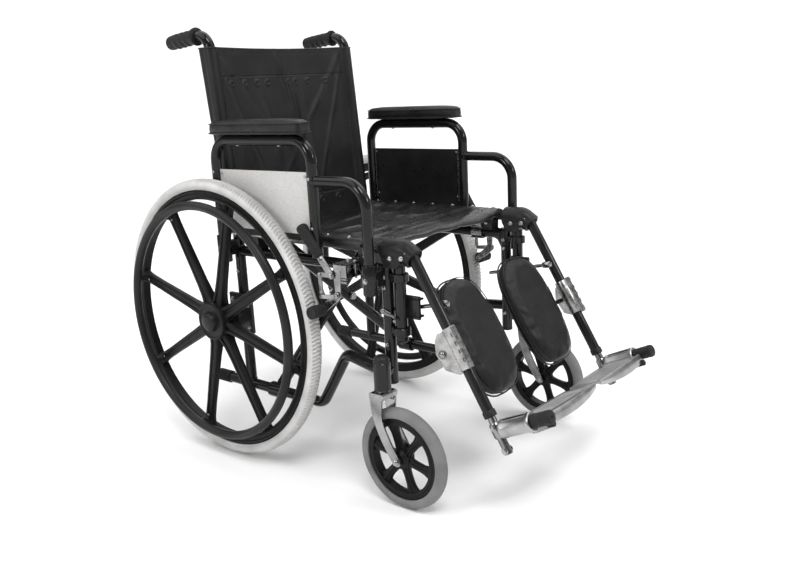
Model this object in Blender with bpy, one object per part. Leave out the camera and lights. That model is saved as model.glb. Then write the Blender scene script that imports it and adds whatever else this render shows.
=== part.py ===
"""Folding manual wheelchair with elevating leg rests.

Metres. The floor is z = 0, the front of the chair is -Y, and the sitter's left is +X.
Every side piece is modelled once, on the left (+X), and its mesh is mirrored for the right.
"""
import math
from math import cos, pi, radians, sin

import bmesh
import bpy
from mathutils import Matrix, Vector

# ------------------------------------------------------------------ driving dimensions
GAP = 0.0003                # clearance between pieces that touch
SIDE_X = 0.207              # half the distance between the two side frames
AXLE_Y = 0.2366             # rear axle, behind the middle of the chair
WHEEL_R = 0.305             # outer radius of the rear tyre
TUBE_R = 0.0115             # frame tube
RAIL_R = 0.011              # seat rails and arm tubes
UPRIGHT_Y = AXLE_Y - 0.004   # rear upright, beside the axle
FRONT_Y = AXLE_Y - 0.427     # front upright
LOWER_Z = 0.137             # lower side rail
UPPER_Z = 0.445             # upper side rail
SEAT_Z = 0.486              # seat rails, when the chair is open
SEAT_REAR_Y = AXLE_Y - 0.030
SEAT_FRONT_Y = AXLE_Y - 0.414
CANE_TOP_Y = AXLE_Y + 0.033  # the back canes lean this far by the bend of the push handles
BACK_LOW, BACK_HIGH = 0.484, 0.874   # ends of the back cloth
HANDLE_Z = 0.903
HANDLE_END_Y = AXLE_Y + 0.165

# rear wheels
WHEEL_STEPS = 36            # facets round the tyre, rim and push rim
WHEEL_X = 0.2795
TYRE_W = 0.030
RIM_W = 0.022
RIM_R = 0.2822
RIM_DEPTH = 0.020
HUB_R = 0.042
SPOKES = 8
SPOKE_PHASE = radians(15.5)    # turn of the first spoke from straight back
SPOKE_HALF = 0.008          # half the depth of a spoke near the rim
HANDRIM_X = 0.3125
HANDRIM_R = 0.2525
HANDRIM_TUBE_R = 0.0095
AXLE_PIN_R = 0.006

# casters
CASTER_X = 0.262
STEM_Y = AXLE_Y - 0.449
CASTER_AXLE_Y = AXLE_Y - 0.491
CASTER_R = 0.100
CASTER_W = 0.026
CASTER_RIM_R = 0.0805
CASTER_STEPS = 28
CASTER_SPOKES = 6
HOUSING_LOW = 0.227
HOUSING_TOP = 0.294

# arms
ARM_X = 0.2475
ARM_REAR_Y = AXLE_Y - 0.004
ARM_MID_Y = AXLE_Y - 0.287
ARM_FRONT_Y = AXLE_Y - 0.420
ARM_TOP_Z = 0.687
ARM_STEP_Z = 0.611
PAD_REAR_Y = AXLE_Y - 0.006
PAD_FRONT_Y = AXLE_Y - 0.280
PAD_THICK = 0.031
PANEL_LOW, PANEL_HIGH = 0.512, 0.627

# leg rests
RELEASE_PIVOT = (FRONT_Y + 0.004, 0.367)
HANGER_Y = AXLE_Y - 0.457
PIVOT_Y = AXLE_Y - 0.486
PIVOT_Z = 0.483
LEG_ANGLE = radians(30.5)   # the strut's slope, from straight down
STRUT_R = 0.0105
STRUT_LENGTH = 0.326
LEG_TUBE_R = 0.0080
BAR_S = 0.354               # distance down the leg to the footplate's bar
PLATE_TILT = radians(25)    # the footplate's bar rises this much towards its front end
PLATE_REACH = 0.196         # how far the plate reaches inboard of its bar
SLEEVE_START = 0.0125       # the plate's sleeve, along the bar from the leg tube
SLEEVE_END = 0.0800

# cross brace
BRACE_A_Y = AXLE_Y - 0.091
BRACE_B_Y = AXLE_Y - 0.125
BRACE_R = 0.0125

# brake
LEVER_PIVOT = (AXLE_Y - 0.336, 0.436)
SHOE_PIVOT = (AXLE_Y - 0.348, 0.396)
LEVER_TOP = (AXLE_Y - 0.259, 0.527)
BRAKE_X = 0.2665
SHOE_R = 0.0125

# ------------------------------------------------------------------ mesh helpers


def polygon(radius, count, turn=0.0):
    """Corners of a regular polygon."""
    return [(radius * cos(turn + 2 * pi * k / count), radius * sin(turn + 2 * pi * k / count))
            for k in range(count)]


def rounded_path(corners, radius, steps=4):
    """The corner points with an arc of the given radius at each inner corner."""
    corners = [Vector(c) for c in corners]
    path = [corners[0]]
    for before, corner, after in zip(corners, corners[1:], corners[2:]):
        back = (before - corner).normalized()
        ahead = (after - corner).normalized()
        half = back.angle(ahead) / 2
        reach = radius / math.tan(half)
        middle = corner + (back + ahead).normalized() * radius / sin(half)
        start = corner + back * reach - middle
        turn_axis = start.cross(corner + ahead * reach - middle)
        sweep = pi - 2 * half
        for k in range(steps + 1):
            path.append(middle + Matrix.Rotation(sweep * k / steps, 3, turn_axis) @ start)
    path.append(corners[-1])
    return path


def loft(rings, closed=False):
    """A solid skin through rings of equal count; closed joins the last ring to the first."""
    bm = bmesh.new()
    rows = [[bm.verts.new(p) for p in ring] for ring in rings]
    count = len(rows[0])
    pairs = list(zip(rows, rows[1:]))
    if closed:
        pairs.append((rows[-1], rows[0]))
    for low, high in pairs:
        for k in range(count):
            j = (k + 1) % count
            bm.faces.new((low[k], low[j], high[j], high[k]))
    if not closed:
        bm.faces.new(list(reversed(rows[0])))
        bm.faces.new(rows[-1])
    bmesh.ops.recalc_face_normals(bm, faces=bm.faces)
    return bm


def tube(path, radius, sides=10):
    """A round bar along a path of points."""
    path = [Vector(p) for p in path]
    tangents = []
    for k, point in enumerate(path):
        ahead = path[min(k + 1, len(path) - 1)] - point
        behind = point - path[max(k - 1, 0)]
        tangents.append((ahead.normalized() + behind.normalized()).normalized())
    across = tangents[0].orthogonal().normalized()
    rings = []
    for k, (point, tangent) in enumerate(zip(path, tangents)):
        if k:
            across = tangents[k - 1].rotation_difference(tangent) @ across
        across = (across - tangent * across.dot(tangent)).normalized()
        other = tangent.cross(across)
        rings.append([point + across * u + other * v for u, v in polygon(radius, sides, pi / sides)])
    return loft(rings)


def rod(start, end, radius, sides=10):
    return tube([start, end], radius, sides)


def turned(profile, centre, axis, steps):
    """A profile of (along, radius) turned about an axis; radius 0 at its ends closes the piece,
    and otherwise the profile is a closed loop and the piece a ring."""
    axis = Vector(axis).normalized()
    across = axis.orthogonal().normalized()
    other = axis.cross(across)
    centre = Vector(centre)
    is_ring = profile[0][1] > 0
    rows = []
    for along, radius in profile:
        if radius > 0:
            rows.append([centre + axis * along + across * u + other * v
                         for u, v in polygon(radius, steps, pi / steps)])
    bm = loft(rows, closed=is_ring)
    return bm


def box(low, high):
    """An upright box between two corners."""
    bm = bmesh.new()
    bmesh.ops.create_cube(bm, size=1)
    low, high = Vector(low), Vector(high)
    size = high - low
    middle = (low + high) / 2
    for v in bm.verts:
        v.co = middle + Vector(v.co[k] * size[k] for k in range(3))
    return bm


def slab(outline, thickness, to_world):
    """A flat outline (u, v) of the given thickness, from w = 0; to_world places (u, v, w)."""
    return loft([[to_world(u, v, w) for u, v in outline] for w in (0, thickness)])


def capsule(start, end, radius, steps=6, end_radius=None):
    """Outline of a bar with round ends between two points of a plane."""
    end_radius = radius if end_radius is None else end_radius
    heading = math.atan2(end[1] - start[1], end[0] - start[0])
    points = []
    for centre, r, base in ((start, radius, heading + pi / 2), (end, end_radius, heading - pi / 2)):
        for k in range(steps + 1):
            angle = base + pi * k / steps
            points.append((centre[0] + r * cos(angle), centre[1] + r * sin(angle)))
    return points


def bevelled(bm, width, segments=1, min_angle=radians(40)):
    """The same solid with its sharp edges rounded."""
    sharp = [e for e in bm.edges if e.calc_face_angle(0) > min_angle]
    bmesh.ops.bevel(bm, geom=sharp, offset=width, segments=segments, affect="EDGES", profile=0.5)
    bmesh.ops.recalc_face_normals(bm, faces=bm.faces)
    return bm


def temporary(bm, name="temporary"):
    mesh = bpy.data.meshes.new(name)
    bm.to_mesh(mesh)
    bm.free()
    holder = bpy.data.objects.new(name, mesh)
    bpy.context.scene.collection.objects.link(holder)
    return holder


def fused(solids, cuts=()):
    """One mesh from overlapping solids, with the cuts taken out of it."""
    base = temporary(solids[0])
    helpers = [(temporary(bm), "UNION") for bm in solids[1:]]
    helpers += [(temporary(bm), "DIFFERENCE") for bm in cuts]
    for helper, operation in helpers:
        modifier = base.modifiers.new("boolean", "BOOLEAN")
        modifier.operation = operation
        modifier.solver = "EXACT"
        modifier.object = helper
    bpy.context.view_layer.update()
    graph = bpy.context.evaluated_depsgraph_get()
    mesh = bpy.data.meshes.new_from_object(base.evaluated_get(graph))
    for holder in [base] + [helper for helper, _ in helpers]:
        used = holder.data
        bpy.data.objects.remove(holder)
        bpy.data.meshes.remove(used)
    return mesh


def plain(bm):
    mesh = bpy.data.meshes.new("plain")
    bm.to_mesh(mesh)
    bm.free()
    return mesh


# ------------------------------------------------------------------ materials and placing

MATERIALS = {
    "frame_black": ((0.012, 0.012, 0.013), 0.25, 0.0),
    "grip_black": ((0.020, 0.020, 0.021), 0.70, 0.0),
    "vinyl_black": ((0.022, 0.022, 0.023), 0.50, 0.0),
    "plastic_black": ((0.018, 0.018, 0.019), 0.45, 0.0),
    "rubber_black": ((0.015, 0.015, 0.015), 0.80, 0.0),
    "tyre_grey": ((0.55, 0.55, 0.52), 0.75, 0.0),
    "caster_grey": ((0.22, 0.22, 0.22), 0.70, 0.0),
    "panel_grey": ((0.62, 0.62, 0.58), 0.45, 0.0),
    "steel_bright": ((0.72, 0.72, 0.72), 0.22, 1.0),
    "cast_aluminium": ((0.62, 0.62, 0.61), 0.38, 1.0),
}


def material(node, look):
    """The node's own Principled material."""
    colour, roughness, metallic = MATERIALS[look]
    made = bpy.data.materials.new(node)
    made.use_nodes = True
    shader = made.node_tree.nodes["Principled BSDF"]
    shader.inputs["Base Color"].default_value = (*colour, 1)
    shader.inputs["Roughness"].default_value = roughness
    shader.inputs["Metallic"].default_value = metallic
    return made


def pivot(name, place, parent=None):
    """An empty on a joint's axis, which carries the pieces that turn or slide there."""
    empty = bpy.data.objects.new(name, None)
    bpy.context.scene.collection.objects.link(empty)
    empty.empty_display_size = 0.03
    world = Vector(place)
    empty["world"] = world
    if parent:
        empty.parent = parent
        world = world - Vector(parent["world"])
    empty.location = world
    return empty


def node(name, mesh, look, parent=None):
    """A named piece whose mesh is given in world positions."""
    mesh.name = name
    mesh.materials.clear()
    mesh.materials.append(material(name, look))
    mesh.shade_smooth()
    mesh.set_sharp_from_angle(angle=radians(35))
    piece = bpy.data.objects.new(name, mesh)
    bpy.context.scene.collection.objects.link(piece)
    if parent:
        piece.parent = parent
        piece.location = -Vector(parent["world"])
    return piece


def both_sides(name, mesh, look, parents):
    """The left piece as modelled, and its mirror image on the right."""
    mirrored = mesh.copy()
    mirrored.transform(Matrix.Diagonal((-1, 1, 1, 1)))
    mirrored.flip_normals()
    node("left_" + name, mesh, look, parents["left"])
    node("right_" + name, mirrored, look, parents["right"])


def side_pivots(name, place, parents):
    """A joint empty on each side, from the left one's place."""
    x, y, z = place
    return {"left": pivot("left_" + name, (x, y, z), parents["left"]),
            "right": pivot("right_" + name, (-x, y, z), parents["right"])}


# ------------------------------------------------------------------ the side frames


def side_frame():
    """Rear upright with the back cane and push handle, side rails, front upright,
    caster housing, axle plate, arm sockets and the leg rest's hinge collars."""
    x = SIDE_X
    cane = rounded_path([(x, UPRIGHT_Y, LOWER_Z), (x, UPRIGHT_Y, UPPER_Z + 0.02),
                         (x, CANE_TOP_Y, HANDLE_Z), (x, HANDLE_END_Y - 0.006, HANDLE_Z - 0.011)], 0.034)
    lower = rounded_path([(x, AXLE_Y + 0.110, LOWER_Z), (x, AXLE_Y - 0.232, LOWER_Z),
                          (x + 0.016, AXLE_Y - 0.325, 0.266), (CASTER_X, STEM_Y, 0.266)], 0.035)
    solids = [
        tube(cane, TUBE_R),
        tube(lower, TUBE_R),
        rod((x, UPRIGHT_Y, UPPER_Z), (x, FRONT_Y, UPPER_Z), TUBE_R - 0.0004),
        rod((x, FRONT_Y, 0.224), (x, FRONT_Y, UPPER_Z + 0.008), TUBE_R),
        rod((x, FRONT_Y + 0.001, 0.250), (CASTER_X, STEM_Y + 0.002, 0.250), 0.009),
        turned([(HOUSING_LOW, 0.0), (HOUSING_LOW, 0.0155), (HOUSING_TOP - 0.004, 0.0155),
                (HOUSING_TOP, 0.0105), (HOUSING_TOP, 0.0)], (CASTER_X, STEM_Y, 0), (0, 0, 1), 12),
        # the axle plate, and the boss of its spare axle place
        box((x + 0.006, AXLE_Y - 0.040, 0.262), (x + 0.0145, AXLE_Y + 0.030, 0.350)),
        rod((x + 0.010, AXLE_Y - 0.031, 0.326), (x + 0.029, AXLE_Y - 0.031, 0.326), 0.008),
    ]
    cuts = [turned([(HOUSING_LOW - 0.01, 0.0), (HOUSING_LOW - 0.01, 0.0078), (0.279, 0.0078), (0.279, 0.0)],
                   (CASTER_X, STEM_Y, 0), (0, 0, 1), 12)]
    for socket_y, low, high in ((ARM_REAR_Y, 0.428, 0.486), (ARM_FRONT_Y, 0.404, 0.461)):
        solids.append(box((x, socket_y - 0.009, low + 0.012),
                          (ARM_X - 0.004, socket_y + 0.008, high - 0.014)))
        solids.append(rod((ARM_X, socket_y, low), (ARM_X, socket_y, high), 0.0145, 12))
        cuts.append(rod((ARM_X, socket_y, low - 0.01), (ARM_X, socket_y, high + 0.01), 0.0122, 12))
    for low in (0.322, 0.426):
        solids.append(box((x - 0.006, HANGER_Y + 0.004, low + 0.001),
                          (x + 0.0062, FRONT_Y - 0.002, low + 0.014)))
        solids.append(rod((x, HANGER_Y, low), (x, HANGER_Y, low + 0.015), 0.0168, 12))
        cuts.append(rod((x, HANGER_Y, low - 0.006), (x, HANGER_Y, low + 0.02), 0.0126, 12))
    return fused(solids, cuts)


def push_grip():
    """Rubber grip over the handle's end, with a ring flange in front and finger grooves."""
    start = Vector((SIDE_X, AXLE_Y + 0.068, HANDLE_Z - 0.0033))
    end = Vector((SIDE_X, HANDLE_END_Y, HANDLE_Z - 0.0117))
    along = (end - start).normalized()
    length = (end - start).length
    profile = [(0, 0.0), (0, 0.0185), (0.006, 0.0185), (0.008, 0.0150)]
    grooves = 4
    step = (length - 0.022) / grooves
    for k in range(grooves):
        base = 0.010 + k * step
        profile += [(base + 0.35 * step, 0.0162), (base + 0.85 * step, 0.0148)]
    profile += [(length - 0.006, 0.0158), (length, 0.0120), (length, 0.0)]
    bore = rod(start - along * 0.01, end - along * 0.005, 0.0124, 12)
    return fused([turned(profile, start, along, 12)], [bore])


# ------------------------------------------------------------------ rear wheels


def rear_tyre():
    """Solid rubber tyre with rounded shoulders."""
    half = TYRE_W / 2
    low = RIM_R + GAP
    profile = [(-0.011, low), (-half, low + 0.009), (-half + 0.006, WHEEL_R), (half - 0.006, WHEEL_R),
               (half, low + 0.009), (0.011, low)]
    return plain(turned(profile, (WHEEL_X, AXLE_Y, WHEEL_R), (1, 0, 0), WHEEL_STEPS))


def spoke_directions(k):
    """Outward and sideways directions of a spoke."""
    angle = SPOKE_PHASE + 2 * pi * k / SPOKES
    return Vector((0, cos(angle), sin(angle))), Vector((0, -sin(angle), cos(angle)))


def rear_wheel():
    """Moulded wheel: rim, eight tapered spokes and the hub, bored for its axle."""
    half = RIM_W / 2
    inner = RIM_R - RIM_DEPTH
    rim_section = [(-half, RIM_R - 0.005), (-half + 0.004, RIM_R), (half - 0.004, RIM_R),
                   (half, RIM_R - 0.005), (half - 0.002, inner), (-half + 0.002, inner)]
    centre = (WHEEL_X, AXLE_Y, WHEEL_R)
    solids = [turned(rim_section, centre, (1, 0, 0), WHEEL_STEPS)]
    hub = [(-0.036, 0.0), (-0.036, 0.024), (-0.014, 0.030), (-0.012, HUB_R), (0.016, HUB_R),
           (0.0245, HUB_R - 0.016), (0.0245, 0.0)]
    solids.append(turned(hub, centre, (1, 0, 0), 16))
    for k in range(SPOKES):
        outward, sideways = spoke_directions(k)
        rings = []
        for radius, wide, deep in ((0.026, 0.0165, 0.0105), (inner - 0.045, 0.0105, SPOKE_HALF),
                                   (inner - 0.018, 0.0125, SPOKE_HALF), (inner + 0.006, 0.0210, SPOKE_HALF)):
            middle = Vector(centre) + outward * radius
            rings.append([middle + sideways * wide * a + Vector((deep * b, 0, 0))
                          for a, b in ((-1, 0), (-0.4, -1), (0.4, -1), (1, 0), (0.4, 1), (-0.4, 1))])
        solids.append(loft(rings))
    bore = rod((WHEEL_X - 0.06, AXLE_Y, WHEEL_R), (WHEEL_X + 0.06, AXLE_Y, WHEEL_R), AXLE_PIN_R + 0.0007, 12)
    return fused(solids, [bore])


def handrim():
    """Push rim with a boss to each spoke."""
    centre = Vector((HANDRIM_X, AXLE_Y, WHEEL_R))
    section = [(u, HANDRIM_R + v) for u, v in polygon(HANDRIM_TUBE_R, 6, pi / 6)]
    solids = [turned(section, centre, (1, 0, 0), WHEEL_STEPS)]
    for k in range(SPOKES):
        outward, _ = spoke_directions(k)
        near = centre + outward * HANDRIM_R
        near.x = HANDRIM_X - 0.003
        far = Vector((WHEEL_X + SPOKE_HALF + GAP, near.y, near.z))
        solids.append(rod(near, far, 0.006, 8))
    return fused(solids)


def axle_bolt():
    """Rear axle: a bolt with a collar against the axle plate and a nut under the hub cap."""
    start = SIDE_X + 0.0145 + GAP
    profile = [(start, 0.0), (start, 0.011), (WHEEL_X - 0.0366, 0.011), (WHEEL_X - 0.0366, AXLE_PIN_R),
               (WHEEL_X + 0.0252, AXLE_PIN_R), (WHEEL_X + 0.0252, 0.009), (WHEEL_X + 0.031, 0.009),
               (WHEEL_X + 0.031, 0.0)]
    return plain(turned(profile, (0, AXLE_Y, WHEEL_R), (1, 0, 0), 12))


def hub_cap():
    """Domed cap over the axle nut."""
    low = WHEEL_X + 0.0245 + GAP
    profile = [(low, 0.0), (low, 0.0195), (low + 0.007, 0.0185), (low + 0.0105, 0.012), (low + 0.011, 0.0)]
    inside = [(low - 0.001, 0.0), (low - 0.001, 0.0115), (low + 0.0082, 0.0105), (low + 0.0082, 0.0)]
    centre = (0, AXLE_Y, WHEEL_R)
    return fused([turned(profile, centre, (1, 0, 0), 16)], [turned(inside, centre, (1, 0, 0), 12)])


# ------------------------------------------------------------------ casters


def caster_fork():
    """Stem in the housing's bearing, crown, two legs and the axle bolt between them."""
    inside = CASTER_W / 2 + 0.0055
    leg = 0.004
    solids = [
        rod((CASTER_X, STEM_Y, 0.214), (CASTER_X, STEM_Y, 0.274), 0.0068),
        bevelled(box((CASTER_X - inside - leg - 0.0005, STEM_Y - 0.017, 0.2075),
                     (CASTER_X + inside + leg + 0.0005, STEM_Y + 0.017, HOUSING_LOW - 0.0008)), 0.003),
        rod((CASTER_X - inside - leg - 0.005, CASTER_AXLE_Y, CASTER_R),
            (CASTER_X + inside + leg + 0.005, CASTER_AXLE_Y, CASTER_R), 0.0045),
    ]
    outline = capsule((STEM_Y, 0.211), (CASTER_AXLE_Y, CASTER_R), 0.0155, 5, 0.0115)
    for low in (CASTER_X - inside - leg, CASTER_X + inside):
        solids.append(slab(outline, leg, lambda u, v, w, base=low: Vector((base + w, u, v))))
    return fused(solids)


def caster_wheel():
    """Rim with six broad spokes and a hub bored for the bolt."""
    half = CASTER_W / 2 - 0.003
    centre = Vector((CASTER_X, CASTER_AXLE_Y, CASTER_R))
    rim_section = [(-half, CASTER_RIM_R - 0.011), (-half, CASTER_RIM_R), (half, CASTER_RIM_R),
                   (half, CASTER_RIM_R - 0.011)]
    hub = [(-half - 0.004, 0.0), (-half - 0.004, 0.0165), (half + 0.004, 0.0165), (half + 0.004, 0.0)]
    solids = [turned(rim_section, centre, (1, 0, 0), CASTER_STEPS), turned(hub, centre, (1, 0, 0), 12)]
    for k in range(CASTER_SPOKES):
        angle = 2 * pi * k / CASTER_SPOKES + radians(12)
        outward = Vector((0, cos(angle), sin(angle)))
        sideways = Vector((0, -sin(angle), cos(angle)))
        rings = []
        for radius, wide in ((0.012, 0.0075), (0.045, 0.0062), (CASTER_RIM_R - 0.008, 0.0105)):
            rings.append([centre + outward * radius + sideways * wide * a + Vector(((half - 0.002) * b, 0, 0))
                          for a, b in ((-1, -1), (1, -1), (1, 1), (-1, 1))])
        solids.append(loft(rings))
    bore = rod(centre - Vector((0.03, 0, 0)), centre + Vector((0.03, 0, 0)), 0.0052, 10)
    return fused(solids, [bore])


def caster_tyre():
    half = CASTER_W / 2
    low = CASTER_RIM_R + GAP
    profile = [(-half + 0.003, low), (-half, low + 0.006), (-half + 0.006, CASTER_R),
               (half - 0.006, CASTER_R), (half, low + 0.006), (half - 0.003, low)]
    return plain(turned(profile, (CASTER_X, CASTER_AXLE_Y, CASTER_R), (1, 0, 0), CASTER_STEPS))


# ------------------------------------------------------------------ arms


def arm_frame():
    """Lift-off desk arm: rear post, top rail and mid post in one bend, and the step down to the
    front post."""
    x = ARM_X
    hoop = rounded_path([(x, ARM_REAR_Y, 0.434), (x, ARM_REAR_Y, ARM_TOP_Z), (x, ARM_MID_Y, ARM_TOP_Z),
                         (x, ARM_MID_Y, 0.463)], 0.045)
    step = rounded_path([(x, ARM_MID_Y + 0.002, ARM_STEP_Z), (x, ARM_FRONT_Y, ARM_STEP_Z),
                         (x, ARM_FRONT_Y, 0.410)], 0.050)
    return fused([tube(hoop, RAIL_R), tube(step, RAIL_R - 0.0003)])


def arm_pad():
    """Padded armrest with rounded ends."""
    half = 0.026
    round_r = 0.024
    outline = []
    side, rear, front = half - round_r, PAD_REAR_Y - round_r, PAD_FRONT_Y + round_r
    for cx, cy, base in ((side, rear, 0), (-side, rear, 90), (-side, front, 180), (side, front, 270)):
        for k in range(5):
            angle = radians(base + 22.5 * k)
            outline.append((cx + round_r * cos(angle), cy + round_r * sin(angle)))
    base_z = ARM_TOP_Z + RAIL_R + GAP
    middle_y = (PAD_REAR_Y + PAD_FRONT_Y) / 2
    rings = []
    for height, shrink in ((0, 0.90), (0.006, 1.0), (PAD_THICK - 0.010, 1.0), (PAD_THICK - 0.003, 0.94),
                           (PAD_THICK, 0.82)):
        ends = 1 - (1 - shrink) * 0.25
        rings.append([(ARM_X + u * shrink, middle_y + (v - middle_y) * ends, base_z + height)
                      for u, v in outline])
    return plain(loft(rings))


def skirt_panel():
    """Thin side panel between the rear and mid posts."""
    clear = RAIL_R + 0.0008
    return plain(box((ARM_X - 0.0015, ARM_MID_Y + clear, PANEL_LOW),
                     (ARM_X + 0.0015, ARM_REAR_Y - clear, PANEL_HIGH)))


# ------------------------------------------------------------------ brakes


def flat(outline, low, high):
    """A plate of a (y, z) outline between two x positions."""
    return slab(outline, high - low, lambda u, v, w: Vector((low + w, u, v)))


def brake_clamp():
    """Clamp round the upper side rail, with the plate that carries the brake's pivots."""
    y_mid = AXLE_Y - 0.356
    plate_low = BRAKE_X - 0.0080
    solids = [
        box((SIDE_X - 0.016, y_mid - 0.015, UPPER_Z - 0.017),
            (plate_low + 0.002, y_mid + 0.015, UPPER_Z + 0.017)),
        flat([(y_mid - 0.015, 0.380), (y_mid + 0.017, 0.380), (LEVER_PIVOT[0] + 0.011, 0.425),
              (LEVER_PIVOT[0] + 0.011, 0.4615), (y_mid - 0.0148, 0.4615)], plate_low, plate_low + 0.004),
    ]
    bore = rod((SIDE_X, y_mid - 0.03, UPPER_Z), (SIDE_X, y_mid + 0.03, UPPER_Z), TUBE_R + 0.0006, 16)
    return fused(solids, [bore])


LEVER_LOW = BRAKE_X - 0.0040 + GAP     # inner face of the lever and of the shoe's arm
LEVER_THICK = 0.004


def along_lever(share):
    """A place on the lever's middle line, from its pivot to its top."""
    return [a + (b - a) * share for a, b in zip(LEVER_PIVOT, LEVER_TOP)]


def lever_core():
    """Both ends of the round core that carries the grip."""
    y, z = along_lever(0.50)
    return (Vector((LEVER_LOW + LEVER_THICK, y - 0.004, z - 0.0046)),
            Vector((LEVER_LOW + 0.010, *along_lever(0.80))))


def brake_lever():
    """Flat lever from its pivot up into the grip."""
    outline = capsule(LEVER_PIVOT, along_lever(0.50), 0.0085, 5, 0.0065)
    bar = flat(outline, LEVER_LOW, LEVER_LOW + LEVER_THICK)
    return fused([bar, rod(*lever_core(), 0.0042, 8)])


def brake_grip():
    """Rubber sleeve over the end of the lever."""
    base = Vector((LEVER_LOW + 0.0062, *along_lever(0.585)))
    top = Vector((LEVER_LOW + 0.0135, *LEVER_TOP))
    length = (top - base).length
    profile = [(0, 0.0), (0, 0.0085), (length - 0.008, 0.0100), (length - 0.002, 0.0080), (length, 0.005),
               (length, 0.0)]
    core_start, core_end = lever_core()
    reach = (core_end - core_start).normalized() * 0.003
    return fused([turned(profile, base, (top - base).normalized(), 12)],
                 [rod(core_start, core_end + reach, 0.0048, 8)])


def shoe_centre():
    """The brake shoe touches the tyre along this line of the wheel."""
    reach = WHEEL_R + SHOE_R + 0.0006
    angle = radians(168.8)
    return (AXLE_Y + reach * cos(angle), WHEEL_R + reach * sin(angle))


def brake_arm():
    """Flat arm from its pivot to the shoe."""
    outline = capsule(SHOE_PIVOT, shoe_centre(), 0.0085, 5, 0.0075)
    return plain(flat(outline, LEVER_LOW, LEVER_LOW + LEVER_THICK))


def brake_shoe():
    """Rubber roller that presses on the tyre."""
    low = BRAKE_X + 2 * GAP
    y, z = shoe_centre()
    profile = [(low, 0.0), (low, SHOE_R - 0.001), (low + 0.001, SHOE_R), (low + 0.034, SHOE_R),
               (low + 0.036, 0.010), (low + 0.036, 0.0)]
    return plain(turned(profile, (0, y, z), (1, 0, 0), 16))


# ------------------------------------------------------------------ leg rests

DOWN_LEG = Vector((0, -sin(LEG_ANGLE), -cos(LEG_ANGLE)))
LEG_FRONT = Vector((0, -cos(LEG_ANGLE), sin(LEG_ANGLE)))
INBOARD = Vector((-1, 0, 0))
LEG_TOP = Vector((SIDE_X, PIVOT_Y, PIVOT_Z))


def leg_point(inboard, down, front):
    """A place on the leg: inboard of the strut, down it from its pivot, and in front of it."""
    return LEG_TOP + INBOARD * inboard + DOWN_LEG * down + LEG_FRONT * front


def legrest_hanger():
    """Vertical tube in the frame's collars, with the hollow housing that holds the strut's pivot."""
    x = SIDE_X
    rear = PIVOT_Y + 0.053
    front = PIVOT_Y - 0.020
    solids = [
        rod((x, HANGER_Y, 0.312), (x, HANGER_Y, PIVOT_Z - 0.016), TUBE_R),
        turned([(0, 0.0), (0, 0.019), (0.006, 0.0235), (rear - front, 0.0235), (rear - front, 0.0)],
               (x, rear, PIVOT_Z), (0, -1, 0), 20),
        # guide plate of the elevating rod, on the tube's inner side
        box((x - 0.0145, HANGER_Y - 0.036, 0.358), (x - 0.0085, HANGER_Y + 0.009, 0.394)),
    ]
    cuts = [
        rod((x, PIVOT_Y + 0.033, PIVOT_Z), (x, front - 0.01, PIVOT_Z), 0.0148, 16),
        box((x - 0.0135, front - 0.01, PIVOT_Z - 0.030), (x + 0.0135, PIVOT_Y + 0.0075, PIVOT_Z)),
    ]
    mesh = fused(solids, cuts)
    pin = rod((x - 0.0215, PIVOT_Y, PIVOT_Z), (x + 0.0215, PIVOT_Y, PIVOT_Z), 0.0030, 8)
    holder = bmesh.new()
    holder.from_mesh(mesh)
    bpy.data.meshes.remove(mesh)
    return fused([holder, pin])


def release_lever():
    """Latch lever on the outside of the front upright, in reach of the leg rest."""
    start, end = RELEASE_PIVOT, (FRONT_Y - 0.029, 0.357)
    low = SIDE_X + TUBE_R + 0.0010
    bar = flat(capsule(start, end, 0.0055, 4, 0.0040), low, low + 0.003)
    tab = box((low, end[0] - 0.002, end[1] - 0.003), (low + 0.011, end[0] + 0.004, end[1] + 0.003))
    return fused([bar, tab])


def legrest_strut():
    """Hollow strut on the pivot pin, open at its lower end."""
    solids = [rod(leg_point(0, -0.004, 0), leg_point(0, STRUT_LENGTH, 0), STRUT_R)]
    cuts = [
        rod(leg_point(0, 0.18, 0), leg_point(0, STRUT_LENGTH + 0.01, 0), LEG_TUBE_R + 0.0008, 12),
        rod((SIDE_X - 0.02, PIVOT_Y, PIVOT_Z), (SIDE_X + 0.02, PIVOT_Y, PIVOT_Z), 0.0037, 10),
    ]
    return fused(solids, cuts)


def calf_bracket():
    """Sleeve on the strut, a rear flange with the pad's bolt, and the notched front strip."""
    top, bottom = 0.152, 0.236
    outboard = -0.0145
    flange = [(top + 0.006, -0.004), (top + 0.004, -0.020), (top + 0.030, -0.040), (bottom - 0.018, -0.036),
              (bottom + 0.002, -0.006)]
    strip = [(top, 0.004), (bottom - 0.004, 0.004), (bottom - 0.004, 0.0155)]
    teeth = 3
    step = (bottom - 0.004 - top - 0.012) / teeth
    for k in range(teeth):
        base = bottom - 0.004 - 0.006 - k * step
        strip += [(base, 0.0165), (base - 0.5 * step, 0.0165), (base - 0.55 * step, 0.0125),
                  (base - step, 0.0125)]
    strip += [(top, 0.0165)]

    def on_outside(u, v, w):
        return leg_point(outboard + w, u, v)

    solids = [
        rod(leg_point(0, top + 0.002, 0), leg_point(0, bottom - 0.006, 0), 0.0138, 16),
        slab(flange, 0.0032, on_outside),
        slab(strip, 0.0040, on_outside),
        rod(leg_point(-0.018, top + 0.040, -0.026), leg_point(0.026, top + 0.040, -0.026), 0.005, 10),
        slab(capsule((top + 0.010, -0.026), (bottom - 0.016, -0.026), 0.006, 4), 0.003,
             lambda u, v, w: leg_point(0.022 + w, u, v)),
    ]
    bore = rod(leg_point(0, top - 0.01, 0), leg_point(0, bottom + 0.01, 0), STRUT_R + 0.0006, 16)
    return fused(solids, [bore])


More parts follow.
